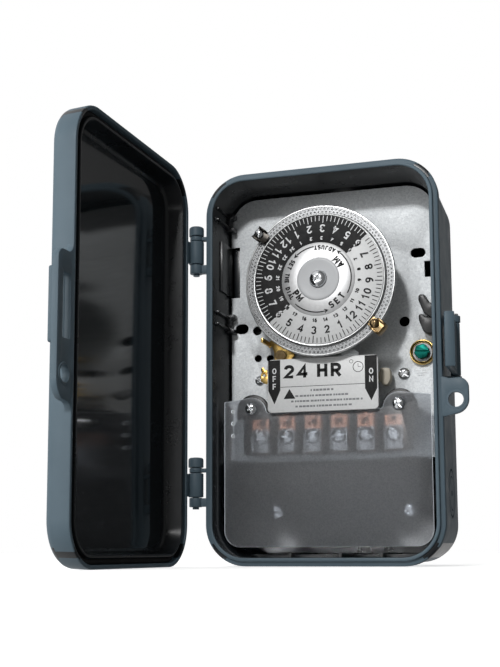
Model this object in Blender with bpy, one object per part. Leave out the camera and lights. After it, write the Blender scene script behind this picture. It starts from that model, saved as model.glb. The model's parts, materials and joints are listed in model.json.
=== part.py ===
"""A 24-hour mechanical time switch in a wall-mounted plastic enclosure with a hinged door.

The row frame is +Z up with the front facing -Y. Its origin is the middle of the enclosure's back face, so the
wall is the plane y = 0. Depths are measured from the rim, the plane where the enclosure opens: positive into
the box and negative towards the door.
"""

import math

import bmesh
import bpy
from mathutils import Matrix, Vector

MM = 0.001
GAP = 0.3  # left between pieces that touch on the real object

# Enclosure, outside sizes. The rim is the widest part of the box.
RIM_HALF = (59.2, 99.0)
RIM_RADIUS = 20.5
BASE_DEPTH = 64.0
FLANGE_DEPTH = 2.0  # the flange's front lies this far behind the tip of the tongue
FLANGE_BACK = 8.0
WALL = 2.8
WALL_HALF_X = 57.8
TONGUE = (55.0, 56.8)  # inner and outer half width of the tongue that enters the door's groove
BACK_WALL = 3.0

# Door, described closed, then turned about its hinge by DOOR_OPEN.
DOOR_OPEN = 93.0
DOOR_RIM = FLANGE_DEPTH - GAP
DOOR_FRONT = -10.5
DOOR_INSIDE = -8.0
HINGE = (-64.8, DOOR_RIM + 2.0)  # x and depth of the hinge axis
HINGE_HEIGHTS = (61.2, -57.6)
KNUCKLE_R = 3.8
PIN_R = 1.6

# Latch and padlock ears on the free side.
HASP_X, HASP_Z, HASP_R = 65.2, -21.2, 3.5
EAR_X = 71.2
WINDOW_X = (60.7, 66.9)
WINDOW_Z = (-6.7, 20.1)
LATCH_PIVOT = (62.6, 27.0)
LATCH_THICK = 2.4

# Mechanism plate and what stands on it.
PLATE_DEPTH = 28.0
PLATE_THICK = 1.2
PLATE_HALF_X = 53.7
PLATE_TOP, PLATE_BOTTOM = 93.2, -46.0
DIAL_Z = 40.9
DIAL_R = 38.0
FACE_R = 32.4
RING_DEPTH = 2.3
RING_THICK = 1.7
GEAR_DEPTH = (13.0, 15.5)
MODULE = 1.0
DIAL_TEETH, IDLER_TEETH, PINION_TEETH = 36, 15, 9
IDLER_ANGLE = 100.0
TRIPPER_ANGLES = {"on": 140.0, "off": -41.0}

# Switch, terminals and wiring shield.
MOTOR_TURN = -45
SHIELD_DEPTH = 11.0
SHIELD_THICK = 1.2
TERMINAL_COUNT = 6
TERMINAL_PITCH = 13.6
TERMINAL_MID_X = -1.0
TERMINAL_Z = (-42.8, -24.0)
SLIDER_Z = (-8.2, -3.4)
SLIDER_DEPTH = (20.0, 23.0)
LEVER_PIVOT = (-26.0, 8.0)
SLIDER_PIN_Z = -5.7

MATERIALS = {
    "shell_grey": ((0.105, 0.15, 0.175, 1), 0.42, 0.0),
    "gasket_black": ((0.008, 0.009, 0.010, 1), 0.8, 0.0),
    "galvanised": ((0.62, 0.65, 0.66, 1), 0.38, 0.9),
    "dial_silver": ((0.68, 0.68, 0.67, 1), 0.35, 0.9),
    "dial_print": ((0.86, 0.86, 0.85, 1), 0.45, 0.0),
    "nickel": ((0.75, 0.76, 0.77, 1), 0.2, 1.0),
    "brass": ((0.72, 0.52, 0.20, 1), 0.3, 1.0),
    "yellow_zinc": ((0.70, 0.46, 0.13, 1), 0.32, 1.0),
    "copper": ((0.80, 0.38, 0.24, 1), 0.35, 1.0),
    "black_moulding": ((0.012, 0.013, 0.014, 1), 0.45, 0.0),
    "label_white": ((0.82, 0.83, 0.83, 1), 0.35, 0.0),
    "ivory": ((0.72, 0.66, 0.54, 1), 0.45, 0.0),
    "ground_green": ((0.0, 0.19, 0.12, 1), 0.35, 0.3),
    "smoke_shield": ((0.16, 0.17, 0.18, 0.6), 0.4, 0.0),
    "motor_case": ((0.55, 0.56, 0.56, 1), 0.4, 0.9),
    "lead_white": ((0.75, 0.75, 0.73, 1), 0.5, 0.0),
}


# ---------------------------------------------------------------- helpers


def material(name):
    found = bpy.data.materials.get(name)
    if found:
        return found
    colour, roughness, metallic = MATERIALS[name]
    made = bpy.data.materials.new(name)
    made.use_nodes = True
    shader = made.node_tree.nodes["Principled BSDF"]
    shader.inputs["Base Color"].default_value = colour
    shader.inputs["Roughness"].default_value = roughness
    shader.inputs["Metallic"].default_value = metallic
    return made


def at(x, depth, z):
    """A point in metres from x, depth behind the rim and z, in millimetres."""
    return Vector((x, depth - BASE_DEPTH, z)) * MM


def add(name, bm, slot, parent=None):
    """Links a finished mesh as a named object with its material."""
    bmesh.ops.recalc_face_normals(bm, faces=bm.faces)
    mesh = bpy.data.meshes.new(name)
    bm.to_mesh(mesh)
    bm.free()
    obj = bpy.data.objects.new(name, mesh)
    bpy.context.scene.collection.objects.link(obj)
    if slot:
        mesh.materials.append(material(slot))
    mesh.shade_smooth()
    mesh.set_sharp_from_angle(angle=math.radians(35))
    obj.parent = parent
    return obj


def arc(cx, cz, r, start, end, steps):
    """Points on an arc, in degrees, both ends included."""
    turn = [math.radians(start + (end - start) * i / steps) for i in range(steps + 1)]
    return [(cx + r * math.cos(a), cz + r * math.sin(a)) for a in turn]


def circle(cx, cz, r, steps=16):
    return arc(cx, cz, r, 0, 360, steps)[:-1]


def rounded(half_x, half_z, r, steps=5, cx=0.0, cz=0.0):
    """A rectangle with round corners, counter-clockwise from its right side."""
    corners = ((1, 1, 0), (-1, 1, 90), (-1, -1, 180), (1, -1, 270))
    points = []
    for sx, sz, start in corners:
        points += arc(cx + sx * (half_x - r), cz + sz * (half_z - r), r, start, start + 90, steps)
    return points


def box_outline(x0, x1, z0, z1):
    return [(x0, z0), (x1, z0), (x1, z1), (x0, z1)]


def slot_outline(cx, cz, length, width, steps=6):
    """An obround hole lying along X."""
    r, reach = width / 2, (length - width) / 2
    return arc(cx + reach, cz, r, -90, 90, steps) + arc(cx - reach, cz, r, 90, 270, steps)


def plate_mesh(outline, depths, holes=()):
    """A flat plate between two depths, with holes through it."""
    bm = bmesh.new()
    for loop in (outline, *holes):
        verts = [bm.verts.new(at(x, depths[0], z)) for x, z in loop]
        for a, b in zip(verts, verts[1:] + verts[:1]):
            bm.edges.new((a, b))
    bmesh.ops.triangle_fill(bm, use_beauty=True, edges=bm.edges[:], normal=(0, 1, 0))
    made = bmesh.ops.extrude_face_region(bm, geom=bm.faces[:])
    moved = [v for v in made["geom"] if isinstance(v, bmesh.types.BMVert)]
    bmesh.ops.translate(bm, verts=moved, vec=(0, (depths[1] - depths[0]) * MM, 0))
    return bm


def stack_mesh(rings):
    """A closed skin over a stack of outlines with equal point counts, each given with its depth."""
    bm = bmesh.new()
    loops = [[bm.verts.new(at(x, depth, z)) for x, z in outline] for outline, depth in rings]
    for low, high in zip(loops, loops[1:]):
        count = len(low)
        for i in range(count):
            j = (i + 1) % count
            bm.faces.new((low[i], low[j], high[j], high[i]))
    bm.faces.new(loops[0])
    bm.faces.new(loops[-1][::-1])
    return bm


def closed_stack_mesh(rings):
    """As stack_mesh, but its last outline joins its first, as round a gasket."""
    bm = bmesh.new()
    loops = [[bm.verts.new(at(x, depth, z)) for x, z in outline] for outline, depth in rings]
    for low, high in zip(loops, loops[1:] + loops[:1]):
        count = len(low)
        for i in range(count):
            j = (i + 1) % count
            bm.faces.new((low[i], low[j], high[j], high[i]))
    return bm


def turned_mesh(profile, cx, cz, steps=24):
    """Turns a profile of (radius, depth) about a line along Y.

    A profile that starts and ends on the axis makes a solid with flat ends; any other makes a ring.
    """
    bm = bmesh.new()
    solid = profile[0][0] == 0
    if solid:
        profile = profile[1:-1]
    loops = [[bm.verts.new(at(x, depth, z)) for x, z in circle(cx, cz, r, steps)] for r, depth in profile]
    for low, high in zip(loops, loops[1:] if solid else loops[1:] + loops[:1]):
        for i in range(steps):
            j = (i + 1) % steps
            bm.faces.new((low[i], low[j], high[j], high[i]))
    if solid:
        bm.faces.new(loops[0])
        bm.faces.new(loops[-1][::-1])
    return bm


def upright_mesh(profile, x, depth, steps=20):
    """Turns a profile of (radius, z) about a vertical line. It starts and ends on the axis."""
    bm = turned_mesh([(r, z) for r, z in profile], 0, 0, steps)
    shift = Matrix.Translation((0, BASE_DEPTH * MM, 0))
    stand = Matrix.Rotation(math.radians(90), 4, "X")
    bmesh.ops.transform(bm, matrix=stand @ shift, verts=bm.verts)
    bmesh.ops.translate(bm, verts=bm.verts, vec=at(x, depth, 0))
    return bm


def block_mesh(x, depth, z):
    """A rectangular block between pairs of x, depth and z."""
    return plate_mesh(box_outline(*x, *z), depth)


def helper(name, bm):
    """A mesh that only cuts or joins, and isn't part of the object."""
    obj = add(name, bm, None)
    obj.hide_render = True
    obj.display_type = "WIRE"
    return obj


def combine(obj, operation, *others):
    for other in others:
        step = obj.modifiers.new(other.name, "BOOLEAN")
        step.operation = operation
        step.solver = "EXACT"
        step.object = other


def pan_screw(name, x, z, head, shank, seat, steps=12, drive="slot"):
    """A pan-head screw seen from the front: head is (radius, height) and shank (radius, length)."""
    r, height = head
    dome = [(0, seat - height), (r * 0.7, seat - height), (r, seat - height * 0.55), (r, seat)]
    stem = [(shank[0], seat), (shank[0], seat + shank[1]), (0, seat + shank[1])]
    screw = add(name, turned_mesh(dome + stem, x, z, steps), "nickel")
    reach, half, deep = r * 0.55, r * 0.11, height * 0.55
    front = (seat - height - 1, seat - height + deep)
    bars = [((x - reach, x + reach), (z - half, z + half))]
    if drive == "cross":
        bars.append(((x - half, x + half), (z - reach, z + reach)))
    for i, (xs, zs) in enumerate(bars):
        combine(screw, "DIFFERENCE", helper(f"{name}_drive_{i}", block_mesh(xs, front, zs)))
    return screw


def empty(name, location, rotation=(0, 0, 0)):
    obj = bpy.data.objects.new(name, None)
    bpy.context.scene.collection.objects.link(obj)
    obj.location = location
    obj.rotation_euler = rotation
    return obj


def re_origin(obj, point):
    """Moves an object's origin to a point on its joint's axis, leaving its shape where it is."""
    obj.data.transform(Matrix.Translation(-point))
    obj.location = point


# ---------------------------------------------------------------- enclosure


def shrink(half_x, steps=5):
    """An outline that follows the rim, at a given half width."""
    inset = RIM_HALF[0] - half_x
    return rounded(half_x, RIM_HALF[1] - inset, RIM_RADIUS - inset, steps)


def make_base():
    back = BASE_DEPTH
    rings = [
        (shrink(WALL_HALF_X - 2.4), back),
        (shrink(WALL_HALF_X - 0.8), back - 0.9),
        (shrink(WALL_HALF_X - 0.1), back - 3.0),
        (shrink(WALL_HALF_X), FLANGE_BACK + 1.0),
        (shrink(RIM_HALF[0] - 0.2), FLANGE_BACK),
        (shrink(RIM_HALF[0]), FLANGE_DEPTH + 0.6),
        (shrink(RIM_HALF[0] - 0.6), FLANGE_DEPTH),
        (shrink(TONGUE[1]), FLANGE_DEPTH),
        (shrink(TONGUE[1]), 0.5),
        (shrink(TONGUE[1] - 0.4), 0.0),
        (shrink(TONGUE[0] + 0.4), 0.0),
        (shrink(TONGUE[0]), 0.5),
        (shrink(TONGUE[0] - 0.3), back - BACK_WALL - 2.5),
        (shrink(TONGUE[0] - 2.5), back - BACK_WALL),
    ]
    base = add("enclosure_base", stack_mesh(rings), "shell_grey")
    additions = [*hinge_arms(), hasp_tab(), *latch_ears(), *plate_posts(), *plate_fingers(), *floor_ribs()]
    combine(base, "UNION", *additions)
    combine(base, "DIFFERENCE", *mounting_holes(), *knockout_rings(), *pin_holes(), latch_pin_hole())
    return base


def hinge_arms():
    """Two knuckles for each hinge, on arms from the side wall, above and below the door's knuckle."""
    arms = []
    x, depth = HINGE
    for i, middle in enumerate(HINGE_HEIGHTS):
        for j, (low, high) in enumerate(((middle - 12.2, middle - 7.6), (middle + 4.9, middle + 7.2))):
            knuckle = [(0, low), (KNUCKLE_R - 0.5, low), (KNUCKLE_R - 0.5, high), (0, high)]
            arms.append(helper(f"hinge_knuckle_{i}_{j}", upright_mesh(knuckle, x, depth, 16)))
            arm = block_mesh((x, -WALL_HALF_X + 1.0), (depth - 0.9, depth + 2.6), (low + 0.2, high - 0.2))
            arms.append(helper(f"hinge_arm_{i}_{j}", arm))
    return arms


def pin_holes():
    holes = []
    for i, middle in enumerate(HINGE_HEIGHTS):
        r = PIN_R + 0.15
        profile = [(0, middle - 20), (r, middle - 20), (r, middle + 20), (0, middle + 20)]
        holes.append(helper(f"hinge_pin_hole_{i}", upright_mesh(profile, *HINGE, 12)))
    return holes


def hasp_tab():
    outline = [(RIM_HALF[0] - 2.2, -29.5), (61.5, -28.6)]
    outline += arc(EAR_X - 7.0, HASP_Z + 0.2, 7.0, -75, 0, 5)
    outline += arc(EAR_X - 4.5, -15.4, 4.5, 0, 90, 4)
    outline += [(61.5, -10.9), (RIM_HALF[0] - 2.2, -9.6)]
    hole = circle(HASP_X, HASP_Z, HASP_R, 16)
    return helper("hasp_tab", plate_mesh(outline, (FLANGE_DEPTH + 0.1, FLANGE_DEPTH + 3.1), [hole]))


def latch_ears():
    ears = []
    x, depth = LATCH_PIVOT
    low, high = WINDOW_Z
    for i, (z0, z1) in enumerate(((low - 3.4, low), (high, high + 3.4))):
        ear = upright_mesh([(0, z0), (2.9, z0), (2.9, z1), (0, z1)], x, depth, 14)
        ears.append(helper(f"latch_ear_{i}", ear))
        web = block_mesh((WALL_HALF_X - 1.0, x), (depth - 2.6, depth + 2.6), (z0 + 0.1, z1 - 0.1))
        ears.append(helper(f"latch_web_{i}", web))
    return ears


def latch_pin_hole():
    z0, z1, r = WINDOW_Z[0] - 8, WINDOW_Z[1] + 8, 1.35
    return helper("latch_pin_hole", upright_mesh([(0, z0), (r, z0), (r, z1), (0, z1)], *LATCH_PIVOT, 12))


def plate_posts():
    """Posts from the back wall that the plate and the shield rest on."""
    posts = []
    plate_back = PLATE_DEPTH + PLATE_THICK + GAP
    places = [(-46, 84, plate_back), (46, 84, plate_back), (-46, -40, plate_back), (46, -40, plate_back)]
    places += [(x, -71.8, SHIELD_DEPTH + SHIELD_THICK + GAP) for x in (-26, 40)]
    for i, (x, z, front) in enumerate(places):
        back = BASE_DEPTH - BACK_WALL + 1.0
        profile = [(0, front), (3.4, front), (4.6, back), (0, back)]
        posts.append(helper(f"plate_post_{i}", turned_mesh(profile, x, z, 12)))
    return posts


def plate_fingers():
    """Moulded fingers on the left wall that reach over the plate's edge."""
    fingers = []
    wall = -TONGUE[0] - 0.6
    for i, z in enumerate((84.0, 76.5, 30.0, 22.0)):
        finger = block_mesh((wall, -50.6), (PLATE_DEPTH - 5.0, PLATE_DEPTH - GAP), (z - 1.1, z + 1.1))
        fingers.append(helper(f"plate_finger_{i}", finger))
    for i, (z0, z1) in enumerate(((76.5, 84.0), (22.0, 30.0))):
        bridge = block_mesh((wall, -52.6), (PLATE_DEPTH - 6.0, PLATE_DEPTH - 3.2), (z0, z1))
        fingers.append(helper(f"plate_finger_bridge_{i}", bridge))
    pocket = block_mesh((wall, -TONGUE[0] + 1.4), (12.0, PLATE_DEPTH + 8.0), (41.3, 67.7))
    fingers.append(helper("plate_notch_block", pocket))
    return fingers


def floor_ribs():
    """Low ribs along the bottom wall, seen under the shield's edge."""
    ribs = []
    floor = -(RIM_HALF[1] - (RIM_HALF[0] - TONGUE[0]))
    for i, x in enumerate((-17.0, 8.0, 28.0)):
        depths = (5.0, BASE_DEPTH - BACK_WALL + 0.5)
        rib = block_mesh((x - 1.0, x + 1.0), depths, (floor - 1.0, floor + 2.2))
        ribs.append(helper(f"floor_rib_{i}", rib))
    for i, (x0, x1) in enumerate(((-16.5, 7.5), (28.5, 44.0))):
        bar = block_mesh((x0, x1), (12.0, 13.6), (floor - 1.0, floor + 1.6))
        ribs.append(helper(f"floor_bar_{i}", bar))
    return ribs


def mounting_holes():
    """Wall screws: a keyhole at the top and two slots below."""
    through = (BASE_DEPTH - BACK_WALL - 3, BASE_DEPTH + 1)
    holes = [
        helper("keyhole_round", plate_mesh(circle(0, 70, 4.6, 16), through)),
        helper("keyhole_slot", plate_mesh(box_outline(-2.5, 2.5, 70, 79), through)),
    ]
    for i, x in enumerate((-33.2, 33.2)):
        holes.append(helper(f"wall_slot_{i}", plate_mesh(slot_outline(x, -81.3, 9, 5.2, 4), through)))
    return holes


def knockout_rings():
    """Grooves round the conduit knockouts, one in the right wall and one in the bottom wall."""
    cuts = []
    mid = BASE_DEPTH - 26.0
    ring = [(11.2, -0.8), (12.2, -0.8), (12.2, 0.9), (11.2, 0.9)]
    side = Matrix.Translation(at(WALL_HALF_X, mid, -63.5)) @ Matrix.Rotation(math.radians(90), 4, "Z")
    bottom = -(RIM_HALF[1] - (RIM_HALF[0] - WALL_HALF_X))
    down = Matrix.Rotation(math.radians(90), 4, "X")
    under = Matrix.Translation(at(0, mid, bottom)) @ down
    for label, place in (("side", side), ("bottom", under)):
        bm = turned_mesh(ring, 0, 0, 20)
        bmesh.ops.translate(bm, verts=bm.verts, vec=(0, BASE_DEPTH * MM, 0))
        bmesh.ops.transform(bm, matrix=place, verts=bm.verts)
        cuts.append(helper(f"knockout_groove_{label}", bm))
    return cuts


def make_hinge_pin(name, middle):
    top = middle + 7.5
    profile = [
        (0, middle - 13.4),
        (PIN_R, middle - 13.4),
        (PIN_R, top),
        (KNUCKLE_R, top),
        (KNUCKLE_R, top + 3.9),
        (KNUCKLE_R - 0.8, top + 5.0),
        (0, top + 5.0),
    ]
    return add(name, upright_mesh(profile, *HINGE, 16), "shell_grey")


def make_latch():
    """A blade beside the wall, turning on a pin at its back, with a nose that catches the door's window."""
    x, depth = LATCH_PIVOT
    half = LATCH_THICK / 2
    tip = -4.6
    z0, z1 = WINDOW_Z[0] + GAP, WINDOW_Z[1] - GAP
    # Seen from above: x across, depth down the blade, with a bead round the pin.
    outline = [(x - half, tip + 0.5), (x - half + 0.5, tip), (x + 2.0, tip), (x + 3.5, tip + 1.0)]
    outline += [(x + 3.5, tip + 1.5), (x + half, tip + 2.0), (x + half, depth - 2.1)]
    outline += arc(x, depth, 2.5, -58, 238, 10)
    outline += [(x - half, depth - 2.1)]
    bm = bmesh.new()
    low = [bm.verts.new(at(px, py, z0)) for px, py in outline]
    high = [bm.verts.new(at(px, py, z1)) for px, py in outline]
    count = len(outline)
    for i in range(count):
        j = (i + 1) % count
        bm.faces.new((low[i], low[j], high[j], high[i]))
    bm.faces.new(low[::-1])
    bm.faces.new(high)
    latch = add("side_latch", bm, "shell_grey")
    re_origin(latch, at(x, depth, 0))
    hole = [(0, z0 - 2), (1.35, z0 - 2), (1.35, z1 + 2), (0, z1 + 2)]
    combine(latch, "DIFFERENCE", helper("latch_bore", upright_mesh(hole, x, depth, 12)))
    return latch


def make_latch_pin():
    z0, z1 = WINDOW_Z[0] - 3.6, WINDOW_Z[1] + 3.6
    profile = [(0, z0), (1.2, z0), (1.2, z1), (1.9, z1), (1.9, z1 + 0.8), (0, z1 + 0.8)]
    return add("latch_pin", upright_mesh(profile, *LATCH_PIVOT, 14), "nickel")


# ---------------------------------------------------------------- door


def make_door():
    pivot = at(*HINGE, 0)
    hinge = empty("door_hinge", pivot, (0, 0, math.radians(-DOOR_OPEN)))
    hinge_back = Matrix.Translation(-pivot)
    wide = RIM_HALF[0]
    rings = [
        (shrink(wide - 3.4), DOOR_FRONT),
        (shrink(wide - 1.6), DOOR_FRONT + 0.5),
        (shrink(wide - 0.5), DOOR_FRONT + 1.6),
        (shrink(wide - 0.1), DOOR_FRONT + 3.2),
        (shrink(wide), DOOR_RIM - 0.5),
        (shrink(wide - 0.4), DOOR_RIM),
        (shrink(wide - 1.5), DOOR_RIM),
        (shrink(wide - 1.9), DOOR_RIM - 0.4),
        (shrink(wide - 1.9), -2.2),
        (shrink(TONGUE[0] - 0.6), -2.2),
        (shrink(TONGUE[0] - 0.6), DOOR_RIM - 0.8),
        (shrink(TONGUE[0] - 0.9), DOOR_RIM - 0.5),
        (shrink(TONGUE[0] - 1.5), DOOR_RIM - 0.5),
        (shrink(TONGUE[0] - 1.8), DOOR_RIM - 0.8),
        (shrink(TONGUE[0] - 2.8), DOOR_INSIDE + 1.8),
        (shrink(TONGUE[0] - 3.4), DOOR_INSIDE + 0.5),
        (shrink(TONGUE[0] - 4.8), DOOR_INSIDE),
    ]
    door = add("door", stack_mesh(rings), "shell_grey")
    additions = [*door_knuckles(), door_ear(), window_bead()]
    cuts = [window_cut(), *pin_holes_in_door()]
    for piece in (door, *additions, *cuts):
        piece.data.transform(hinge_back)
        piece.parent = hinge
    combine(door, "UNION", *additions)
    combine(door, "DIFFERENCE", *cuts)

    floor, top = -2.2 + GAP, -0.4
    seal = [(wide - 1.9 - GAP, floor), (wide - 1.9 - GAP, top), (TONGUE[0] - 0.6 + GAP, top)]
    seal.append((TONGUE[0] - 0.6 + GAP, floor))
    gasket = closed_stack_mesh([(shrink(half), depth) for half, depth in seal])
    bmesh.ops.transform(gasket, matrix=hinge_back, verts=gasket.verts)
    add("door_gasket", gasket, "gasket_black", hinge)


def door_knuckles():
    parts = []
    x, depth = HINGE
    for i, middle in enumerate(HINGE_HEIGHTS):
        low, high = middle - 7.3, middle + 4.6
        knuckle = [(0, low), (KNUCKLE_R, low), (KNUCKLE_R, high), (0, high)]
        parts.append(helper(f"door_knuckle_{i}", upright_mesh(knuckle, x, depth, 18)))
        arm = block_mesh((x, -RIM_HALF[0] + 0.9), (depth - 3.7, DOOR_RIM - 0.3), (low + 0.2, high - 0.2))
        parts.append(helper(f"door_arm_{i}", arm))
    return parts


def pin_holes_in_door():
    holes = []
    for i, middle in enumerate(HINGE_HEIGHTS):
        r = PIN_R + 0.2
        profile = [(0, middle - 10), (r, middle - 10), (r, middle + 8), (0, middle + 8)]
        holes.append(helper(f"door_pin_hole_{i}", upright_mesh(profile, *HINGE, 12)))
    return holes


def door_ear():
    """The padlock ear: a flat flange beside the door's free wall, with a hollow curve at each end."""
    inner = RIM_HALF[0] - 0.9
    outline = [(inner, -33.0), (60.0, -32.6)]
    outline += arc(61.0, -29.4, 3.4, -70, -20, 3)
    outline += arc(EAR_X - 6.0, -21.5, 6.0, -50, 0, 4)
    outline += arc(EAR_X - 4.0, 25.5, 4.0, 0, 80, 5)
    outline += arc(62.6, 32.6, 3.2, -60, -150, 4)
    outline += [(inner, 33.2)]
    hole = circle(HASP_X, HASP_Z, HASP_R, 16)
    return helper("door_ear", plate_mesh(outline, (-1.5, DOOR_RIM - 0.2), [hole]))


def window_bead():
    """The ear is thicker beside its window."""
    z0, z1 = WINDOW_Z[0] - 1.6, WINDOW_Z[1] + 1.6
    return helper("window_bead", block_mesh((RIM_HALF[0] - 0.9, EAR_X - 0.2), (-2.3, -1.0), (z0, z1)))


def window_cut():
    return helper("window_cut", block_mesh(WINDOW_X, (-6, 6), WINDOW_Z))


# ---------------------------------------------------------------- mechanism plate


def make_plate():
    half, corner = PLATE_HALF_X, 14.5
    outline = [(half, PLATE_BOTTOM), (half, 44.8), (48.3, 44.8), (48.3, 53.0), (half, 53.0)]
    outline += arc(half - corner, PLATE_TOP - corner, corner, 0, 90, 6)
    outline += arc(-half + corner, PLATE_TOP - corner, corner, 90, 180, 6)
    outline += [(-half, 68.1), (-49.2, 68.1), (-49.2, 40.9), (-half, 40.9), (-half, PLATE_BOTTOM)]
    pinion_x, pinion_z = pinion_place()
    holes = [
        circle(0, DIAL_Z, 5.4),
        circle(pinion_x, pinion_z, 3.2, 12),
        slot_outline(45.2, 57.6, 8.0, 5.0),
        slot_outline(-48.1, 24.0, 7.6, 5.4),
        circle(37.6, 22.7, 2.6, 12),
        circle(-39.7, 22.6, 2.4, 12),
        circle(-39.3, 7.9, 2.0, 12),
        circle(-32.8, 7.6, 2.0, 12),
        circle(46.5, 6.25, 2.7, 12),
        circle(-38.4, -3.4, 1.8, 12),
        circle(36.9, -3.4, 1.8, 12),
        box_outline(-31.0, 29.0, -40.5, -26.0),
    ]
    holes += [circle(x, z, 1.9, 10) for x, z in motor_screw_places()]
    holes += [circle(*LEVER_PIVOT, 1.9, 10), circle(*idler_place(), 1.9, 10)]
    sheet = plate_mesh(outline, (PLATE_DEPTH, PLATE_DEPTH + PLATE_THICK), holes)
    add("mechanism_plate", sheet, "galvanised")


def make_release_clip():
    """The fork-ended clip on the right wall that holds the plate in."""
    wall = TONGUE[0] - GAP - 0.3
    outline = [(wall, 14.4), (wall, 29.5), (51.6, 29.8), (48.4, 34.4), (45.6, 34.2), (45.9, 31.6)]
    outline += [(48.6, 24.9), (45.8, 24.4), (45.9, 21.6), (48.2, 16.0), (50.4, 14.2)]
    add("release_clip", plate_mesh(outline, (PLATE_DEPTH - 7.5, PLATE_DEPTH - GAP)), "black_moulding")


def make_ground_screw():
    x, z = 46.5, 6.25
    seat = PLATE_DEPTH - GAP
    cup = [(2.5, seat - 0.9), (5.6, seat - 0.9), (6.2, seat - 2.2), (6.4, seat), (2.5, seat)]
    add("ground_cup_washer", turned_mesh(cup, x, z, 20), "brass")
    head = seat - 0.9 - GAP
    hexagon = circle(x, z, 4.55, 6)
    screw = add("ground_screw", plate_mesh(hexagon, (head - 3.4, head)), "ground_green")
    shank = [(0, head - 0.5), (2.2, head - 0.5), (2.2, head + 9.0), (0, head + 9.0)]
    combine(screw, "UNION", helper("ground_screw_shank", turned_mesh(shank, x, z, 12)))
    slot = block_mesh((x - 5, x + 5), (head - 5, head - 2.2), (z - 0.55, z + 0.55))
    combine(screw, "DIFFERENCE", helper("ground_screw_slot", slot))


# ---------------------------------------------------------------- dial and gears


def polar(angle, r, cx=0.0, cz=DIAL_Z):
    a = math.radians(angle)
    return cx + r * math.cos(a), cz + r * math.sin(a)


def pitch_r(teeth):
    return teeth * MODULE / 2


def idler_place():
    return polar(IDLER_ANGLE, pitch_r(DIAL_TEETH) + pitch_r(IDLER_TEETH))


def pinion_place():
    """The pinion meshes with the idler only, so it stands 3 mm clear of the dial gear."""
    near = pitch_r(DIAL_TEETH) + pitch_r(IDLER_TEETH)
    mesh = pitch_r(IDLER_TEETH) + pitch_r(PINION_TEETH)
    far = pitch_r(DIAL_TEETH) + pitch_r(PINION_TEETH) + 4.5
    between = math.degrees(math.acos((near**2 + far**2 - mesh**2) / (2 * near * far)))
    return polar(IDLER_ANGLE - between, far)


def gear_outline(teeth, cx, cz, first):
    """Straight-sided teeth, thinned for backlash. One tooth is centred on the angle first."""
    r = pitch_r(teeth)
    tip, root = r + 0.85 * MODULE, r - 1.15 * MODULE
    step = 360 / teeth
    points = []
    for i in range(teeth):
        middle = first + i * step
        for offset, radius in ((-0.29, root), (-0.115, tip), (0.115, tip), (0.29, root)):
            points.append(polar(middle + offset * step, radius, cx, cz))
    return points


def mesh_phase(driver_place, driver_teeth, driver_first, place, teeth):
    """The angle for a gear's first tooth that puts a gap of it where the driver has a tooth."""
    line = math.degrees(math.atan2(place[1] - driver_place[1], place[0] - driver_place[0]))
    turned = (line - driver_first) / (360 / driver_teeth)
    part = turned - math.floor(turned)
    # Going round the driver by part of a tooth is going round the gear by as much the other way.
    return line + 180 + (part + 0.5) * 360 / teeth


def make_gears(dial_axis):
    dial_place, idler, pinion = (0.0, DIAL_Z), idler_place(), pinion_place()
    idler_first = mesh_phase(dial_place, DIAL_TEETH, 0.0, idler, IDLER_TEETH)
    pinion_first = mesh_phase(idler, IDLER_TEETH, idler_first, pinion, PINION_TEETH)

    outline = gear_outline(DIAL_TEETH, *dial_place, 0.0)
    holes = [circle(*dial_place, 2.3, 12)] + [circle(*polar(90 * i, 10.0), 3.6, 8) for i in range(4)]
    gear = add("dial_gear", plate_mesh(outline, GEAR_DEPTH, holes), "brass")
    attach(gear, dial_axis)

    outline = gear_outline(IDLER_TEETH, *idler, idler_first)
    gear = add("idler_gear", plate_mesh(outline, GEAR_DEPTH, [circle(*idler, 1.85, 12)]), "brass")
    re_origin(gear, at(idler[0], GEAR_DEPTH[0], idler[1]))

    outline = gear_outline(PINION_TEETH, *pinion, pinion_first)
    gear = add("motor_pinion", plate_mesh(outline, GEAR_DEPTH), "nickel")
    shaft = [(0, 12.4), (1.5, 12.4), (1.5, PLATE_DEPTH + PLATE_THICK), (0, PLATE_DEPTH + PLATE_THICK)]
    combine(gear, "UNION", helper("pinion_shaft", turned_mesh(shaft, *pinion, 12)))
    re_origin(gear, at(pinion[0], GEAR_DEPTH[0], pinion[1]))

    post = [(0, 12.2), (2.6, 12.2), (2.6, 12.7), (1.6, 12.7), (1.6, 16.0), (3.0, 16.0)]
    post += [(3.0, PLATE_DEPTH - GAP), (1.6, PLATE_DEPTH - GAP), (1.6, 29.2), (0, 29.2)]
    add("idler_post", turned_mesh(post, *idler, 12), "nickel")


def attach(obj, axis):
    """Parents an object modelled in place to a joint's empty, without moving it."""
    obj.data.transform(Matrix.Translation(-axis.location))
    obj.parent = axis
    return obj


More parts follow.
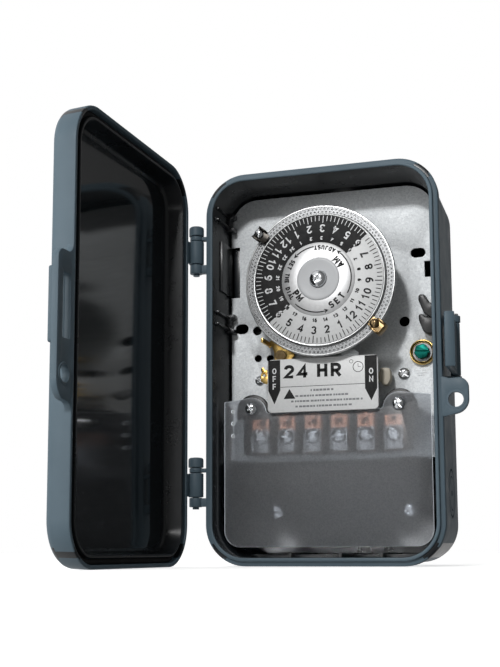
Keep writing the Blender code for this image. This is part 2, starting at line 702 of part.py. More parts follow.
def make_dial():
    axis = empty("dial_axis", at(0, 0, DIAL_Z))
    disc = [
        (2.4, 2.0),
        (4.9, 2.0),
        (9.9, 0.9),
        (FACE_R + 0.4, 0.9),
        (FACE_R + 0.9, RING_DEPTH),
        (DIAL_R, RING_DEPTH),
        (DIAL_R, RING_DEPTH + RING_THICK),
        (31.4, RING_DEPTH + RING_THICK),
        (31.4, 2.3),
        (7.5, 3.2),
        (7.5, 9.0),
        (2.4, 9.0),
    ]
    attach(add("dial_disc", turned_mesh(disc, 0, DIAL_Z, 40), "dial_silver"), axis)
    face = [(10.2, 0.1), (FACE_R, 0.1), (FACE_R, 0.6), (10.2, 0.6)]
    attach(add("dial_face", turned_mesh(face, 0, DIAL_Z, 40), "dial_print"), axis)
    bush = [(2.3, -0.3), (4.5, -0.3), (4.9, 0.2), (4.9, 1.6), (2.3, 1.6)]
    attach(add("dial_bush", turned_mesh(bush, 0, DIAL_Z, 16), "brass"), axis)
    arbor = [(0, 3.2), (2.0, 3.2), (2.0, 31.6), (0, 31.6)]
    attach(add("dial_arbor", turned_mesh(arbor, 0, DIAL_Z, 12), "nickel"), axis)
    screw = pan_screw("dial_screw", 0, DIAL_Z, (4.3, 2.1), (1.2, 3.0), -0.3 - GAP, 20, "cross")
    for piece in (screw, *[m.object for m in screw.modifiers]):
        attach(piece, axis)
    washer = [(2.4, 10.9), (2.4, 11.4), (6.4, 10.2), (6.6, 9.7)]
    attach(add("clutch_washer", turned_mesh(washer, 0, DIAL_Z, 16), "nickel"), axis)
    clip = [(2.3, 29.9), (3.6, 29.9), (3.6, 30.5), (2.3, 30.5)]
    attach(add("arbor_clip", turned_mesh(clip, 0, DIAL_Z, 16), "nickel"), axis)
    bearing = [(2.25, 16.4), (4.4, 16.4), (4.4, 24.6), (7.6, 24.6), (7.6, PLATE_DEPTH - GAP)]
    bearing += [(5.0, PLATE_DEPTH - GAP), (5.0, 29.5), (2.25, 29.5)]
    add("dial_bearing", turned_mesh(bearing, 0, DIAL_Z, 16), "brass")
    make_trippers(axis)
    make_gears(axis)


def make_trippers(axis):
    """Clips that grip the dial's ring, with a thumb screw: the on clip's outside, the off clip's inside."""
    front, back = RING_DEPTH - GAP, RING_DEPTH + RING_THICK + GAP
    inner, outer, edge = 33.8, 42.0, DIAL_R + GAP
    for kind, slot, screw_r in (("on", "black_moulding", 39.2), ("off", "yellow_zinc", 36.6)):
        angle = TRIPPER_ANGLES[kind]
        a = math.radians(angle)
        place = Matrix.Translation(at(0, 0, DIAL_Z)) @ Matrix.Rotation(-a, 4, "Y")
        home = Matrix.Translation(-at(0, 0, 0))
        half = 3.6
        # Seen from above the ring: radius across, depth down, a clip open towards the dial's axis.
        top, foot = front - 2.4, back + 1.1
        outline = [(inner, top), (outer - 1.0, top), (outer, top + 1.0), (outer, foot)]
        outline += [(inner + 1.2, foot), (inner + 1.2, back), (edge, back), (edge, front), (inner, front)]
        bm = bmesh.new()
        low = [bm.verts.new(at(r, d, -half)) for r, d in outline]
        high = [bm.verts.new(at(r, d, half)) for r, d in outline]
        for i in range(len(outline)):
            j = (i + 1) % len(outline)
            bm.faces.new((low[i], low[j], high[j], high[i]))
        bm.faces.new(low[::-1])
        bm.faces.new(high)
        bmesh.ops.transform(bm, matrix=place @ home, verts=bm.verts)
        attach(add(f"tripper_{kind}", bm, slot), axis)
        head = top - GAP
        x, z = polar(angle, screw_r)
        profile = [(0, head - 2.2), (2.1, head - 2.2), (2.6, head - 1.7), (2.6, head), (0, head)]
        attach(add(f"tripper_{kind}_screw", turned_mesh(profile, x, z, 16), "nickel"), axis)


def motor_place():
    return 12.0, 64.0


def motor_screw_places():
    return [polar(MOTOR_TURN + turn, 24.5, *motor_place()) for turn in (0, 180)]


def make_motor():
    x, z = motor_place()
    front = PLATE_DEPTH + PLATE_THICK + GAP
    can = [(0, front), (20.0, front), (21.0, front + 1.0), (21.0, front + 16)]
    can += [(19.0, front + 18), (0, front + 18)]
    motor = add("clock_motor", turned_mesh(can, x, z, 24), "motor_case")
    for i, (sx, sz) in enumerate(motor_screw_places()):
        ear = plate_mesh(circle(sx, sz, 4.2, 14), (front, front + 1.6), [circle(sx, sz, 1.9, 10)])
        combine(motor, "UNION", helper(f"motor_ear_{i}", ear))
        arm = polar(MOTOR_TURN + 180 * i, 19.0, x, z)
        length = math.hypot(sx - arm[0], sz - arm[1]) - 3.0
        bridge = block_mesh((-2.6, length), (front + 0.1, front + 1.5), (-2.8, 2.8))
        turn = Matrix.Rotation(-math.radians(MOTOR_TURN + 180 * i), 4, "Y")
        shift = Matrix.Translation((arm[0] * MM, 0, arm[1] * MM))
        bmesh.ops.transform(bridge, matrix=shift @ turn, verts=bridge.verts)
        combine(motor, "UNION", helper(f"motor_bridge_{i}", bridge))
    for label, (sx, sz) in zip(("right", "left"), motor_screw_places()):
        pan_screw(f"motor_screw_{label}", sx, sz, (3.0, 1.8), (1.4, 5.5), PLATE_DEPTH - GAP)


def make_motor_leads():
    """Two leads held behind the plate, from the motor's foot to the back of the switch base."""
    for label, x0, x1 in (("left", 6.0, -12.0), ("right", 16.0, 10.0)):
        route = [(x0, 44.0, 42.0), (x0, 44.2, 36.0), (x0 * 0.9 + x1 * 0.1, 45.5, 24.0)]
        route += [((x0 + x1) / 2, 46.0, 6.0), (x0 * 0.2 + x1 * 0.8, 45.0, -12.0)]
        route += [(x1, 43.0, -24.0), (x1, 39.5, -31.0), (x1, 33.6, -33.2)]
        curve = bpy.data.curves.new(f"motor_lead_{label}", "CURVE")
        curve.dimensions = "3D"
        curve.bevel_depth = 0.9 * MM
        curve.bevel_resolution = 1
        curve.use_fill_caps = True
        smooth = through_points([at(*p) for p in route], 2)
        spline = curve.splines.new("POLY")
        spline.points.add(len(smooth) - 1)
        for point, where in zip(spline.points, smooth):
            point.co = (*where, 1)
        lead = bpy.data.objects.new(f"motor_lead_{label}", curve)
        curve.materials.append(material("lead_white"))
        bpy.context.scene.collection.objects.link(lead)


def through_points(points, steps):
    """A smooth curve through the points, by Catmull and Rom's formula."""
    ends = [2 * points[0] - points[1], *points, 2 * points[-1] - points[-2]]
    found = []
    for a, b, c, d in zip(ends, ends[1:], ends[2:], ends[3:]):
        for i in range(steps):
            t = i / steps
            square = 2 * a - 5 * b + 4 * c - d
            cube = 3 * b - 3 * c + d - a
            found.append(0.5 * (2 * b + (c - a) * t + square * t**2 + cube * t**3))
    return [*found, points[-1]]


# ---------------------------------------------------------------- switch


def terminal_x(i):
    return TERMINAL_MID_X + (i - (TERMINAL_COUNT - 1) / 2) * TERMINAL_PITCH


def make_switch_base():
    """The black moulding: a barrier strip, a hollow housing under the label and two ears for the shield."""
    back = PLATE_DEPTH - GAP
    left = TERMINAL_MID_X - TERMINAL_PITCH * TERMINAL_COUNT / 2
    right = TERMINAL_MID_X + TERMINAL_PITCH * TERMINAL_COUNT / 2
    slab = block_mesh((left - 1.0, right + 1.0), (20.0, back), (TERMINAL_Z[0] - 0.8, -22.4))
    base = add("switch_base", slab, "black_moulding")
    parts = [helper("switch_housing", block_mesh((-22.0, 20.0), (9.8, back - 0.1), (-22.6, 2.0)))]
    for i in range(TERMINAL_COUNT + 1):
        x = left + i * TERMINAL_PITCH
        rib = block_mesh((x - 0.8, x + 0.8), (13.4, 20.5), (TERMINAL_Z[0] - 0.6, -22.6))
        parts.append(helper(f"barrier_{i}", rib))
    for i, x in enumerate((-38.0, 36.6)):
        lug = [(0, 12.6), (2.9, 12.6), (2.9, back - 0.2), (0, back - 0.2)]
        parts.append(helper(f"shield_ear_{i}", turned_mesh(lug, x, -20.7, 14)))
    parts.append(helper("rear_block", block_mesh((-30.4, 28.4), (back - 1, 33.2), (-40.0, -26.5))))
    combine(base, "UNION", *parts)
    cuts = [helper("switch_tunnel", block_mesh((-23, 21), (18.4, back + 1), (-19.0, -1.6)))]
    for i, x in enumerate((-38.0, 36.6)):
        cuts.append(helper(f"shield_screw_hole_{i}", turned_mesh(bore(1.7, 12, 24), x, -20.7, 12)))
    for i in range(TERMINAL_COUNT):
        hole = turned_mesh(bore(2.1, 19, 26), terminal_x(i), -35.2, 10)
        cuts.append(helper(f"terminal_hole_{i}", hole))
    combine(base, "DIFFERENCE", *cuts)


def bore(r, front, back):
    return [(0, front), (r, front), (r, back), (0, back)]


def make_terminals():
    for i in range(TERMINAL_COUNT):
        x = terminal_x(i)
        outline = rounded(5.0, (TERMINAL_Z[1] - TERMINAL_Z[0]) / 2, 0.8, 1, x, sum(TERMINAL_Z) / 2)
        holes = [circle(x, -35.2, 2.1, 10)]
        add(f"terminal_plate_{i + 1}", plate_mesh(outline, (18.5, 19.7), holes), "copper")
        pan_screw(f"terminal_screw_{i + 1}", x, -35.2, (4.1, 2.6), (1.8, 6.5), 18.5 - GAP)


def make_label_plate():
    outline = rounded(28.0, 13.4, 2.2, 4, -0.6, -10.1)
    add("label_plate", plate_mesh(outline, (8.0, 9.5)), "label_white")


def make_slider():
    """The switch's slide bar, with its ivory handle at the on end, its link, and two moving contacts."""
    z0, z1 = SLIDER_Z
    bar = add("switch_slider", block_mesh((-21.0, 27.5), SLIDER_DEPTH, SLIDER_Z), "ivory")
    grip = [(26.3, -8.2), (27.4, -10.4), (30.2, -10.4), (31.6, -7.8)]
    grip += [(31.6, -3.6), (30.6, -1.8), (26.3, -1.8)]
    handle = plate_mesh(grip, (SLIDER_DEPTH[0] - 1.5, SLIDER_DEPTH[1] + 1.0))
    combine(bar, "UNION", helper("slider_handle", handle))
    link = [(-35.2, -5.6), (-35.2, 1.0), (-33.8, 1.8), (-32.8, -0.2), (-31.8, 0.4), (-31.0, -3.8)]
    link += [(-19.0, -3.8), (-19.0, z0 + 0.4), (-30.5, z0 + 0.4), (-34.0, -6.6)]
    strip = plate_mesh(link, (SLIDER_DEPTH[0] - GAP - 1.2, SLIDER_DEPTH[0] - GAP))
    strip = add("slider_link", strip, "yellow_zinc")
    pin = turned_mesh(bore(1.2, SLIDER_DEPTH[0] - 1.0, 26.0), LEVER_PIVOT[0], SLIDER_PIN_Z, 12)
    combine(strip, "UNION", helper("slider_pin", pin))
    for label, x in (("left", -13.0), ("right", 7.0)):
        blade = block_mesh((x, x + 0.6), (19.4, 26.4), (-17.5, z0 - GAP))
        add(f"contact_blade_{label}", blade, "copper")
        fixed = block_mesh((x + 0.6 + GAP, x + 2.2), (21.0, 27.3), (-18.7, -11.0))
        add(f"fixed_contact_{label}", fixed, "copper")


def make_trip_lever():
    """A stamped lever: a hooked finger beside the dial, and a fork round the slider's pin."""
    px, pz = LEVER_PIVOT
    depth = (24.2, 25.4)
    fork = 1.2 + 0.5
    outline = [(px - 3.6, pz + 2.0), (-30.8, 13.4), (-32.2, 12.2), (-33.2, 13.8), (-31.6, 16.2)]
    outline += [(-27.6, 16.6), (-20.0, 11.6), (-18.6, 8.0), (px + 3.4, pz - 5.0)]
    outline += [(px + 3.2, SLIDER_PIN_Z - 2.6), (px + fork, SLIDER_PIN_Z - 2.6)]
    outline += [(px + fork, SLIDER_PIN_Z + 2.4), (px - fork, SLIDER_PIN_Z + 2.4)]
    outline += [(px - fork, SLIDER_PIN_Z - 2.6), (px - 3.2, SLIDER_PIN_Z - 2.6), (px - 3.4, pz - 5.0)]
    lever = add("trip_lever", plate_mesh(outline, depth, [circle(px, pz, 1.75, 12)]), "yellow_zinc")
    finger = block_mesh((-33.0, -31.8), (11.6, depth[1] - 0.1), (13.2, 15.4))
    combine(lever, "UNION", helper("trip_finger", finger))
    re_origin(lever, at(px, depth[0], pz))
    stud = [(0, 22.9), (2.8, 22.9), (2.8, 23.9), (1.6, 23.9), (1.6, 25.7), (2.8, 25.7)]
    stud += [(2.8, PLATE_DEPTH - GAP), (1.6, PLATE_DEPTH - GAP), (1.6, 30.0), (0, 30.0)]
    add("lever_pivot", turned_mesh(stud, px, pz, 14), "nickel")


def make_shield():
    depth = (SHIELD_DEPTH, SHIELD_DEPTH + SHIELD_THICK)
    outline = arc(-44.0, -81.4, 8.2, 180, 270, 5) + arc(44.0, -81.4, 8.2, 270, 360, 5)
    outline += [(52.2, -16.8), (36.6, -15.0)]
    outline += arc(36.6, -22.6, 7.6, 80, 175, 6) + [(28.0, -23.0), (-29.5, -23.0)]
    outline += arc(-38.0, -22.6, 7.6, 5, 100, 6) + [(-52.2, -16.8)]
    holes = [circle(-47.7, z, 0.9, 8) for z in (-21.6, -27.8, -34.0)]
    holes += [circle(x, -20.7, 1.7, 10) for x in (-38.0, 36.6)]
    add("wiring_shield", plate_mesh(outline, depth, holes), "smoke_shield")
    for label, x in (("left", -38.0), ("right", 36.6)):
        pan_screw(f"shield_screw_{label}", x, -20.7, (3.2, 2.2), (1.4, 9.0), SHIELD_DEPTH - GAP)


def make_plate_screws():
    for label, x in (("left", -38.4), ("right", 36.9)):
        pan_screw(f"plate_screw_{label}", x, -3.4, (3.1, 1.8), (1.5, 4.0), PLATE_DEPTH - GAP)


def main():
    for obj in list(bpy.data.objects):
        bpy.data.objects.remove(obj)
    make_base()
    for label, middle in zip(("upper", "lower"), HINGE_HEIGHTS):
        make_hinge_pin(f"hinge_pin_{label}", middle)
    make_latch()
    make_latch_pin()
    make_door()
    make_plate()
    make_release_clip()
    make_ground_screw()
    make_plate_screws()
    make_dial()
    make_motor()
    make_motor_leads()
    make_switch_base()
    make_terminals()
    make_label_plate()
    make_slider()
    make_trip_lever()
    make_shield()


main()
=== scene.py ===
"""The looks of the dial time switch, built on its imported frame."""

import json
import math

import bmesh
import bpy
from mathutils import Matrix, Vector


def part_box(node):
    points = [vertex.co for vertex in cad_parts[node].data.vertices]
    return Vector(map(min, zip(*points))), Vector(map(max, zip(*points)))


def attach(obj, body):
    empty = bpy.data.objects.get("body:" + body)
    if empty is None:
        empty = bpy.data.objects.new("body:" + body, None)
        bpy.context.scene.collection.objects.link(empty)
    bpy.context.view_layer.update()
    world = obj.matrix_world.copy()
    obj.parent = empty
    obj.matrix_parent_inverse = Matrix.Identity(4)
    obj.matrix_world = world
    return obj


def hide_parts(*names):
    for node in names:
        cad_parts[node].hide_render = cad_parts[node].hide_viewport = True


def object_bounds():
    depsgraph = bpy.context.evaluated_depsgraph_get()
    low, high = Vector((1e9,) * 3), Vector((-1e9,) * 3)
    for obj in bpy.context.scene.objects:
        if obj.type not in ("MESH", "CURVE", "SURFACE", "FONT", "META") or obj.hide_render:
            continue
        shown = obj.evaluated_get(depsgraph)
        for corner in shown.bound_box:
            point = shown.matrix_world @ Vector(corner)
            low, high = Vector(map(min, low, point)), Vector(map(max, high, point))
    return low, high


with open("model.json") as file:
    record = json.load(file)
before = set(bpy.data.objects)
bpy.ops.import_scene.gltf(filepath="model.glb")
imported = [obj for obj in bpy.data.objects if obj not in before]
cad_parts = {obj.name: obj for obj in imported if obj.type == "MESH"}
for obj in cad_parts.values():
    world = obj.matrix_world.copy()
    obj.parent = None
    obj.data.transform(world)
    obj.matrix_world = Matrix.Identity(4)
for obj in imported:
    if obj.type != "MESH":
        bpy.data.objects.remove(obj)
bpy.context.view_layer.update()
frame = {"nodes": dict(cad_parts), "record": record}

MM = 0.001
JOINTS = {joint["name"]: joint for joint in frame["record"]["behaviour"]["joints"]}
SLOTS = {part["node"]: part["material_slot"] for part in frame["record"]["subparts"]}


# ---------------------------------------------------------------- places, in millimetres


def box_mm(node):
    """A node's lowest and highest x, depth and z. Depth counts from the rim's tip into the box."""
    low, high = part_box(node)
    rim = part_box("enclosure_base")[0][1]
    return [[p[0] / MM, (p[1] - rim) / MM, p[2] / MM] for p in (low, high)]


def middle(node):
    low, high = box_mm(node)
    return [(a + b) / 2 for a, b in zip(low, high)]


def joint_place(name):
    """Where a joint's axis stands: its x, depth and z."""
    x, y, z = JOINTS[name]["pos_m"]
    return x / MM, y / MM + BASE_DEPTH, z / MM


RIM_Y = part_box("enclosure_base")[0][1]
BASE_DEPTH = -RIM_Y / MM
RIM_HALF = (59.2, box_mm("enclosure_base")[1][2])
RIM_RADIUS = 20.5
TONGUE = (55.0, 56.8)
FLANGE = (2.0, 8.0)
WALL_HALF_X = 57.8
BACK_WALL = 3.0
PADLOCK = (65.2, -21.2)
POST_FOOT, SHIELD_POST_TIP = 62.0, 17.0
SHIELD_POSTS = ((-26.0, -71.8), (40.0, -71.8))
SHIELD_SCREW_X, SHIELD_SCREW_Z = (-38.0, 36.6), -20.7
SLIDE_PIN = (-26.0, -5.7)
HINGE = joint_place("door_hinge")[:2]
DOOR_OPEN = -JOINTS["door_hinge"]["range_deg"][0]
DOOR_RIM = HINGE[1] - 2.0
PLATE = box_mm("mechanism_plate")
DIAL_Z = middle("dial_disc")[2]
FACE = box_mm("dial_face")
FACE_R = (FACE[1][0] - FACE[0][0]) / 2


def at(x, depth, z):
    return Vector((x * MM, RIM_Y + depth * MM, z * MM))


# ---------------------------------------------------------------- materials

NOISE_RANGE = (0.3, 0.7)


def feed(tree, socket, source):
    """Links a socket to another one, or sets its value."""
    if isinstance(source, bpy.types.NodeSocket):
        tree.links.new(source, socket)
    else:
        socket.default_value = source


def add_node(tree, kind, output, inputs, **settings):
    """Adds a node, feeds its inputs, and returns one of its outputs."""
    made = tree.nodes.new("ShaderNode" + kind)
    for setting, value in settings.items():
        setattr(made, setting, value)
    for name, source in inputs.items():
        feed(tree, made.inputs[name], source)
    return made.outputs[output]


def noise_at(tree, scale, detail, roughness=0.55):
    """Noise over the object's coordinates in metres."""
    where = add_node(tree, "TexCoord", "Object", {})
    shape = {"Scale": scale, "Detail": detail, "Roughness": roughness}
    return add_node(tree, "TexNoise", "Fac", {"Vector": where, **shape})


def ramp(tree, fac, dark, light, positions=NOISE_RANGE):
    """A colour that goes from dark to light as its factor crosses the positions."""
    made = tree.nodes.new("ShaderNodeValToRGB")
    for point, position, colour in zip(made.color_ramp.elements, positions, (dark, light)):
        point.position = position
        point.color = (*colour, 1)
    feed(tree, made.inputs["Fac"], fac)
    return made.outputs["Color"]


def spread(tree, fac, low, high, source=NOISE_RANGE):
    """Maps a factor's range to values between low and high."""
    limits = {"From Min": source[0], "From Max": source[1], "To Min": low, "To Max": high}
    return add_node(tree, "MapRange", "Result", {"Value": fac, **limits})


def new_material(name):
    made = bpy.data.materials.new(name)
    made.use_nodes = True
    return made, made.node_tree


def surface(made, height, strength, distance, values):
    """Feeds a material's shader, and gives it relief from a height."""
    tree = made.node_tree
    shader = tree.nodes["Principled BSDF"]
    relief = {"Height": height, "Strength": strength, "Distance": distance}
    values["Normal"] = add_node(tree, "Bump", "Normal", relief)
    for name, source in values.items():
        feed(tree, shader.inputs[name], source)
    return made


def plastic(name, dark, light, rough, grain=2600, depth=0.00004, strength=0.35, specular=0.5):
    """Moulded plastic: a fine stipple, broad shifts of colour, and dull patches from handling."""
    made, tree = new_material(name)
    colour = ramp(tree, noise_at(tree, 28, 4), dark, light)
    gloss = spread(tree, noise_at(tree, 90, 5, 0.65), *rough)
    values = {"Base Color": colour, "Roughness": gloss, "Specular IOR Level": specular}
    return surface(made, noise_at(tree, grain, 2), strength, depth, values)


def metal(name, dark, light, rough, scale=900):
    """Metal with fine tumbled grain, clouded by a broader variation."""
    made, tree = new_material(name)
    cloud = noise_at(tree, 160, 5, 0.6)
    colour, gloss = ramp(tree, cloud, dark, light), spread(tree, cloud, *rough)
    values = {"Base Color": colour, "Roughness": gloss, "Metallic": 1.0}
    return surface(made, noise_at(tree, scale, 3), 0.25, 0.00003, values)


def brushed_round(name, dark, light, rough):
    """Spun metal, which streaks its highlights about the middle of the piece."""
    made, tree = new_material(name)
    cloud = noise_at(tree, 500, 3)
    colour, gloss = ramp(tree, cloud, dark, light), spread(tree, cloud, *rough)
    tangent = add_node(tree, "Tangent", "Tangent", {}, direction_type="RADIAL", axis="Y")
    values = {"Base Color": colour, "Roughness": gloss, "Metallic": 0.7, "Anisotropic": 0.5,
              "Tangent": tangent}
    return surface(made, noise_at(tree, 2500, 2), 0.15, 0.00002, values)


def galvanised():
    """Zinc spangle: cells of slightly different grey and gloss under a fine grain."""
    made, tree = new_material("zinc_spangle")
    where = add_node(tree, "TexCoord", "Object", {})
    wobble = add_node(tree, "TexNoise", "Color", {"Vector": where, "Scale": 1500})
    shift = {0: wobble, 1: (0.0006, 0.0006, 0.0006), 2: where}
    bent = add_node(tree, "VectorMath", "Vector", shift, operation="MULTIPLY_ADD")
    cell = add_node(tree, "TexVoronoi", "Color", {"Vector": bent, "Scale": 1400, "Randomness": 1.0})
    grey, dull = (add_node(tree, "SeparateColor", name, {"Color": cell}) for name in ("Red", "Green"))
    values = {
        "Base Color": ramp(tree, grey, (0.68, 0.71, 0.73), (0.84, 0.87, 0.885), (0, 1)),
        "Roughness": spread(tree, dull, 0.5, 0.62, (0, 1)),
        "Metallic": 0.3,
    }
    return surface(made, noise_at(tree, 1800, 3), 0.35, 0.00004, values)


def smoked():
    """Frosted, smoked polycarbonate: light comes through it blurred."""
    made, tree = new_material("smoked_polycarbonate")
    grain = noise_at(tree, 1500, 3, 0.7)
    values = {
        "Base Color": ramp(tree, grain, (0.46, 0.48, 0.51), (0.80, 0.82, 0.85)),
        "Roughness": spread(tree, noise_at(tree, 45, 4), 0.30, 0.34),
        "Transmission Weight": 0.91,
        "IOR": 1.35,
    }
    return surface(made, grain, 0.2, 0.00003, values)


def enamel(name, dark, rough):
    """Smooth ink or paint with a trace of texture."""
    made, tree = new_material(name)
    cloud = noise_at(tree, 700, 4)
    light = tuple(min(1.0, c * 1.08 + 0.001) for c in dark)
    colour, gloss = ramp(tree, cloud, dark, light), spread(tree, cloud, *rough)
    return surface(made, cloud, 0.12, 0.00002, {"Base Color": colour, "Roughness": gloss})


def glow(made, colour, strength):
    """Lets a material give off a little light of its own."""
    inputs = made.node_tree.nodes["Principled BSDF"].inputs
    inputs["Emission Color"].default_value = (*colour, 1)
    inputs["Emission Strength"].default_value = strength


SHELL = plastic("blue_grey_plastic", (0.086, 0.127, 0.157), (0.106, 0.154, 0.188), (0.42, 0.55),
                specular=0.3)
# painted shade: the shell's blue-grey plastic about ten times darker, standing for the shade inside the box
# and the door
SHELL_PAINTED_SHADE = plastic("blue_grey_plastic_painted_shade", (0.008, 0.010, 0.012), (0.013, 0.016, 0.019), (0.24, 0.36),
                      depth=0.00002)
# painted shade: the door's inner panel is the shell plastic darkened almost to black for the shade inside
# the door; its real gloss lets it reflect the box
PANEL_PAINTED_SHADE = plastic("polished_panel_painted_shade", (0.010, 0.013, 0.015), (0.016, 0.020, 0.023), (0.05, 0.09), 900,
                0.000004, 0.15)
RUBBER = plastic("gasket_foam", (0.006, 0.006, 0.007), (0.014, 0.014, 0.015), (0.75, 0.9), 3500, 0.0001,
                 0.6)
ZINC = galvanised()
DIAL_METAL = metal("satin_dial_aluminium", (0.60, 0.61, 0.61), (0.74, 0.75, 0.75), (0.30, 0.42), scale=1500)
DIAL_PAPER = enamel("dial_white_print", (0.78, 0.79, 0.79), (0.38, 0.5))
HUB = brushed_round("spun_hub", (0.66, 0.665, 0.67), (0.76, 0.765, 0.77), (0.42, 0.5))
INK = enamel("black_ink", (0.0015, 0.0015, 0.002), (0.6, 0.75))
WHITE_INK = enamel("white_ink", (0.80, 0.81, 0.82), (0.4, 0.5))
GREY_INK = enamel("grey_ink", (0.22, 0.23, 0.24), (0.4, 0.5))
NICKEL = metal("bright_nickel", (0.66, 0.68, 0.70), (0.84, 0.86, 0.88), (0.12, 0.26))
STEEL = metal("dull_steel", (0.42, 0.43, 0.44), (0.60, 0.61, 0.62), (0.3, 0.45))
BRASS = metal("lacquered_brass", (0.62, 0.42, 0.13), (0.82, 0.60, 0.24), (0.2, 0.34))
YELLOW_ZINC = metal("yellow_zinc_plate", (0.66, 0.40, 0.10), (0.86, 0.62, 0.22), (0.25, 0.4))
COPPER = metal("bare_copper", (0.72, 0.34, 0.22), (0.90, 0.50, 0.36), (0.24, 0.4))
# painted highlight: the knurl's points take a lighter copy of the dial metal, as if catching the light
KNURL_PAINTED_HIGHLIGHT = metal("knurl_painted_highlight", (0.74, 0.75, 0.75), (0.86, 0.86, 0.86), (0.3, 0.4), scale=1500)
# dark metal: painted shade on the knurled band between the points, and the ground washer's dark colour
DARK_METAL_AND_PAINTED_SHADE = metal("dark_metal_and_knurl_painted_shade", (0.24, 0.245, 0.25), (0.34, 0.345, 0.35), (0.4, 0.5), scale=1500)
BLACK = plastic("black_moulding_compound", (0.005, 0.005, 0.006), (0.011, 0.012, 0.013), (0.3, 0.45), 1800)
BURNT_STEEL = metal("blackened_spring_steel", (0.018, 0.017, 0.016), (0.06, 0.055, 0.05), (0.22, 0.36))
WHITE = enamel("white_label_stock", (0.80, 0.81, 0.81), (0.3, 0.4))
IVORY = plastic("ivory_nylon", (0.60, 0.54, 0.43), (0.70, 0.64, 0.53), (0.38, 0.5), 1400, 0.00002)
GREEN = metal("green_dyed_plate", (0.004, 0.07, 0.055), (0.008, 0.13, 0.105), (0.3, 0.45))
LEAD = plastic("lead_insulation", (0.55, 0.55, 0.53), (0.66, 0.66, 0.64), (0.4, 0.55), 1500, 0.00002)
SMOKED = smoked()
FROSTED = plastic("frosted_boss", (0.56, 0.575, 0.59), (0.64, 0.655, 0.67), (0.3, 0.42), 1600, 0.00002)
OLD_BRASS = metal("tarnished_brass", (0.16, 0.11, 0.06), (0.42, 0.30, 0.15), (0.24, 0.4))
# painted light: the shield's cut edges glow with light of their own, a bright line along them
CUT_EDGE_PAINTED_GLOW = enamel("cut_edge_painted_glow", (0.48, 0.50, 0.52), (0.2, 0.3))
PALE_FLOOR = plastic("pale_sweep", (0.90, 0.90, 0.90), (0.92, 0.92, 0.92), (0.6, 0.7), 300, 0.0001)
glow(PALE_FLOOR, (1, 1, 1), 0.6)
# painted light: the cut edges give off light though they are no lamp
glow(CUT_EDGE_PAINTED_GLOW, (0.75, 0.8, 0.85), 0.7)
FINISH = {
    "shell_grey": SHELL,
    "gasket_black": RUBBER,
    "galvanised": ZINC,
    "dial_silver": DIAL_METAL,
    "dial_print": DIAL_PAPER,
    "nickel": NICKEL,
    "brass": BRASS,
    "yellow_zinc": YELLOW_ZINC,
    "copper": COPPER,
    "black_moulding": BLACK,
    "label_white": WHITE,
    "ivory": IVORY,
    "ground_green": GREEN,
    "smoke_shield": SMOKED,
    "motor_case": STEEL,
    "lead_white": LEAD,
}


# ---------------------------------------------------------------- shapes


def oval(cx, cz, rx, rz, start=0, end=360, steps=16):
    turn = [math.radians(start + (end - start) * i / steps) for i in range(steps + 1)]
    return [(cx + rx * math.cos(a), cz + rz * math.sin(a)) for a in turn]


def arc(cx, cz, r, start, end, steps):
    return oval(cx, cz, r, r, start, end, steps)


def circle(cx, cz, r, steps=48):
    return arc(cx, cz, r, 0, 360, steps)[:-1]


def polar(angle, r, cx=0.0, cz=None):
    a = math.radians(angle)
    return cx + r * math.cos(a), (DIAL_Z if cz is None else cz) + r * math.sin(a)


def rounded(x0, x1, z0, z1, r, steps=8):
    """A rectangle with round corners."""
    points = []
    for cx, cz, start in ((x1 - r, z1 - r, 0), (x0 + r, z1 - r, 90), (x0 + r, z0 + r, 180),
                          (x1 - r, z0 + r, 270)):
        points += arc(cx, cz, r, start, start + 90, steps)
    return points


def obround(cx, cz, length, width, steps=10):
    r, reach = width / 2, (length - width) / 2
    return arc(cx + reach, cz, r, -90, 90, steps) + arc(cx - reach, cz, r, 90, 270, steps)


def shrink(half_x, steps=18):
    """The rim's outline drawn in until its half width is half_x."""
    inwards = RIM_HALF[0] - half_x
    half_z, r = RIM_HALF[1] - inwards, RIM_RADIUS - inwards
    return rounded(-half_x, half_x, -half_z, half_z, r, steps)


def soften(points, r, steps=4):
    """Rounds each corner of an outline by about r."""
    found = []
    count = len(points)
    for i in range(count):
        a, b, c = (Vector(points[(i + k) % count]) for k in (-1, 0, 1))
        before, after = (a - b), (c - b)
        reach = min(r, before.length * 0.45, after.length * 0.45)
        p, q = b + before.normalized() * reach, b + after.normalized() * reach
        for k in range(steps + 1):
            t = k / steps
            found.append(tuple((1 - t) ** 2 * p + 2 * t * (1 - t) * b + t**2 * q))
    return found


def inset(points, distance):
    """Moves an outline inwards when it runs counter-clockwise, and outwards for a negative distance."""
    found = []
    count = len(points)
    for i in range(count):
        a, b, c = (Vector(points[(i + k) % count]) for k in (-1, 0, 1))
        e, f = (b - a), (c - b)
        if e.length < 1e-9 or f.length < 1e-9:
            found.append(tuple(b))
            continue
        n, m = Vector((-e.y, e.x)).normalized(), Vector((-f.y, f.x)).normalized()
        found.append(tuple(b + (n + m) * (distance / max(0.4, 1 + n.dot(m)))))
    return found


def area(points):
    return sum(a[0] * b[1] - b[0] * a[1] for a, b in zip(points, points[1:] + points[:1])) / 2


def fill_rings(bm, rings, close=False):
    """Joins loops of vertices with quads, one loop to the next."""
    for low, high in zip(rings, rings[1:] + rings[:1] if close else rings[1:]):
        count = len(low)
        for i in range(count):
            j = (i + 1) % count
            bm.faces.new((low[i], low[j], high[j], high[i]))


def rounded_edge(low, high, edge):
    """Steps of (inset, height) from low to high, with a rounded edge at each end."""
    steps = [(edge, low), (edge * 0.3, low + edge * 0.3), (0, low + edge)]
    return steps + [(0, high - edge), (edge * 0.3, high - edge * 0.3), (edge, high)]


def skin(bm, loops, close=False):
    """Joins loops of vertices, and closes the ends or joins the last loop to the first."""
    fill_rings(bm, loops, close)
    if not close:
        bm.faces.new(loops[0])
        bm.faces.new(loops[-1][::-1])
    return bm


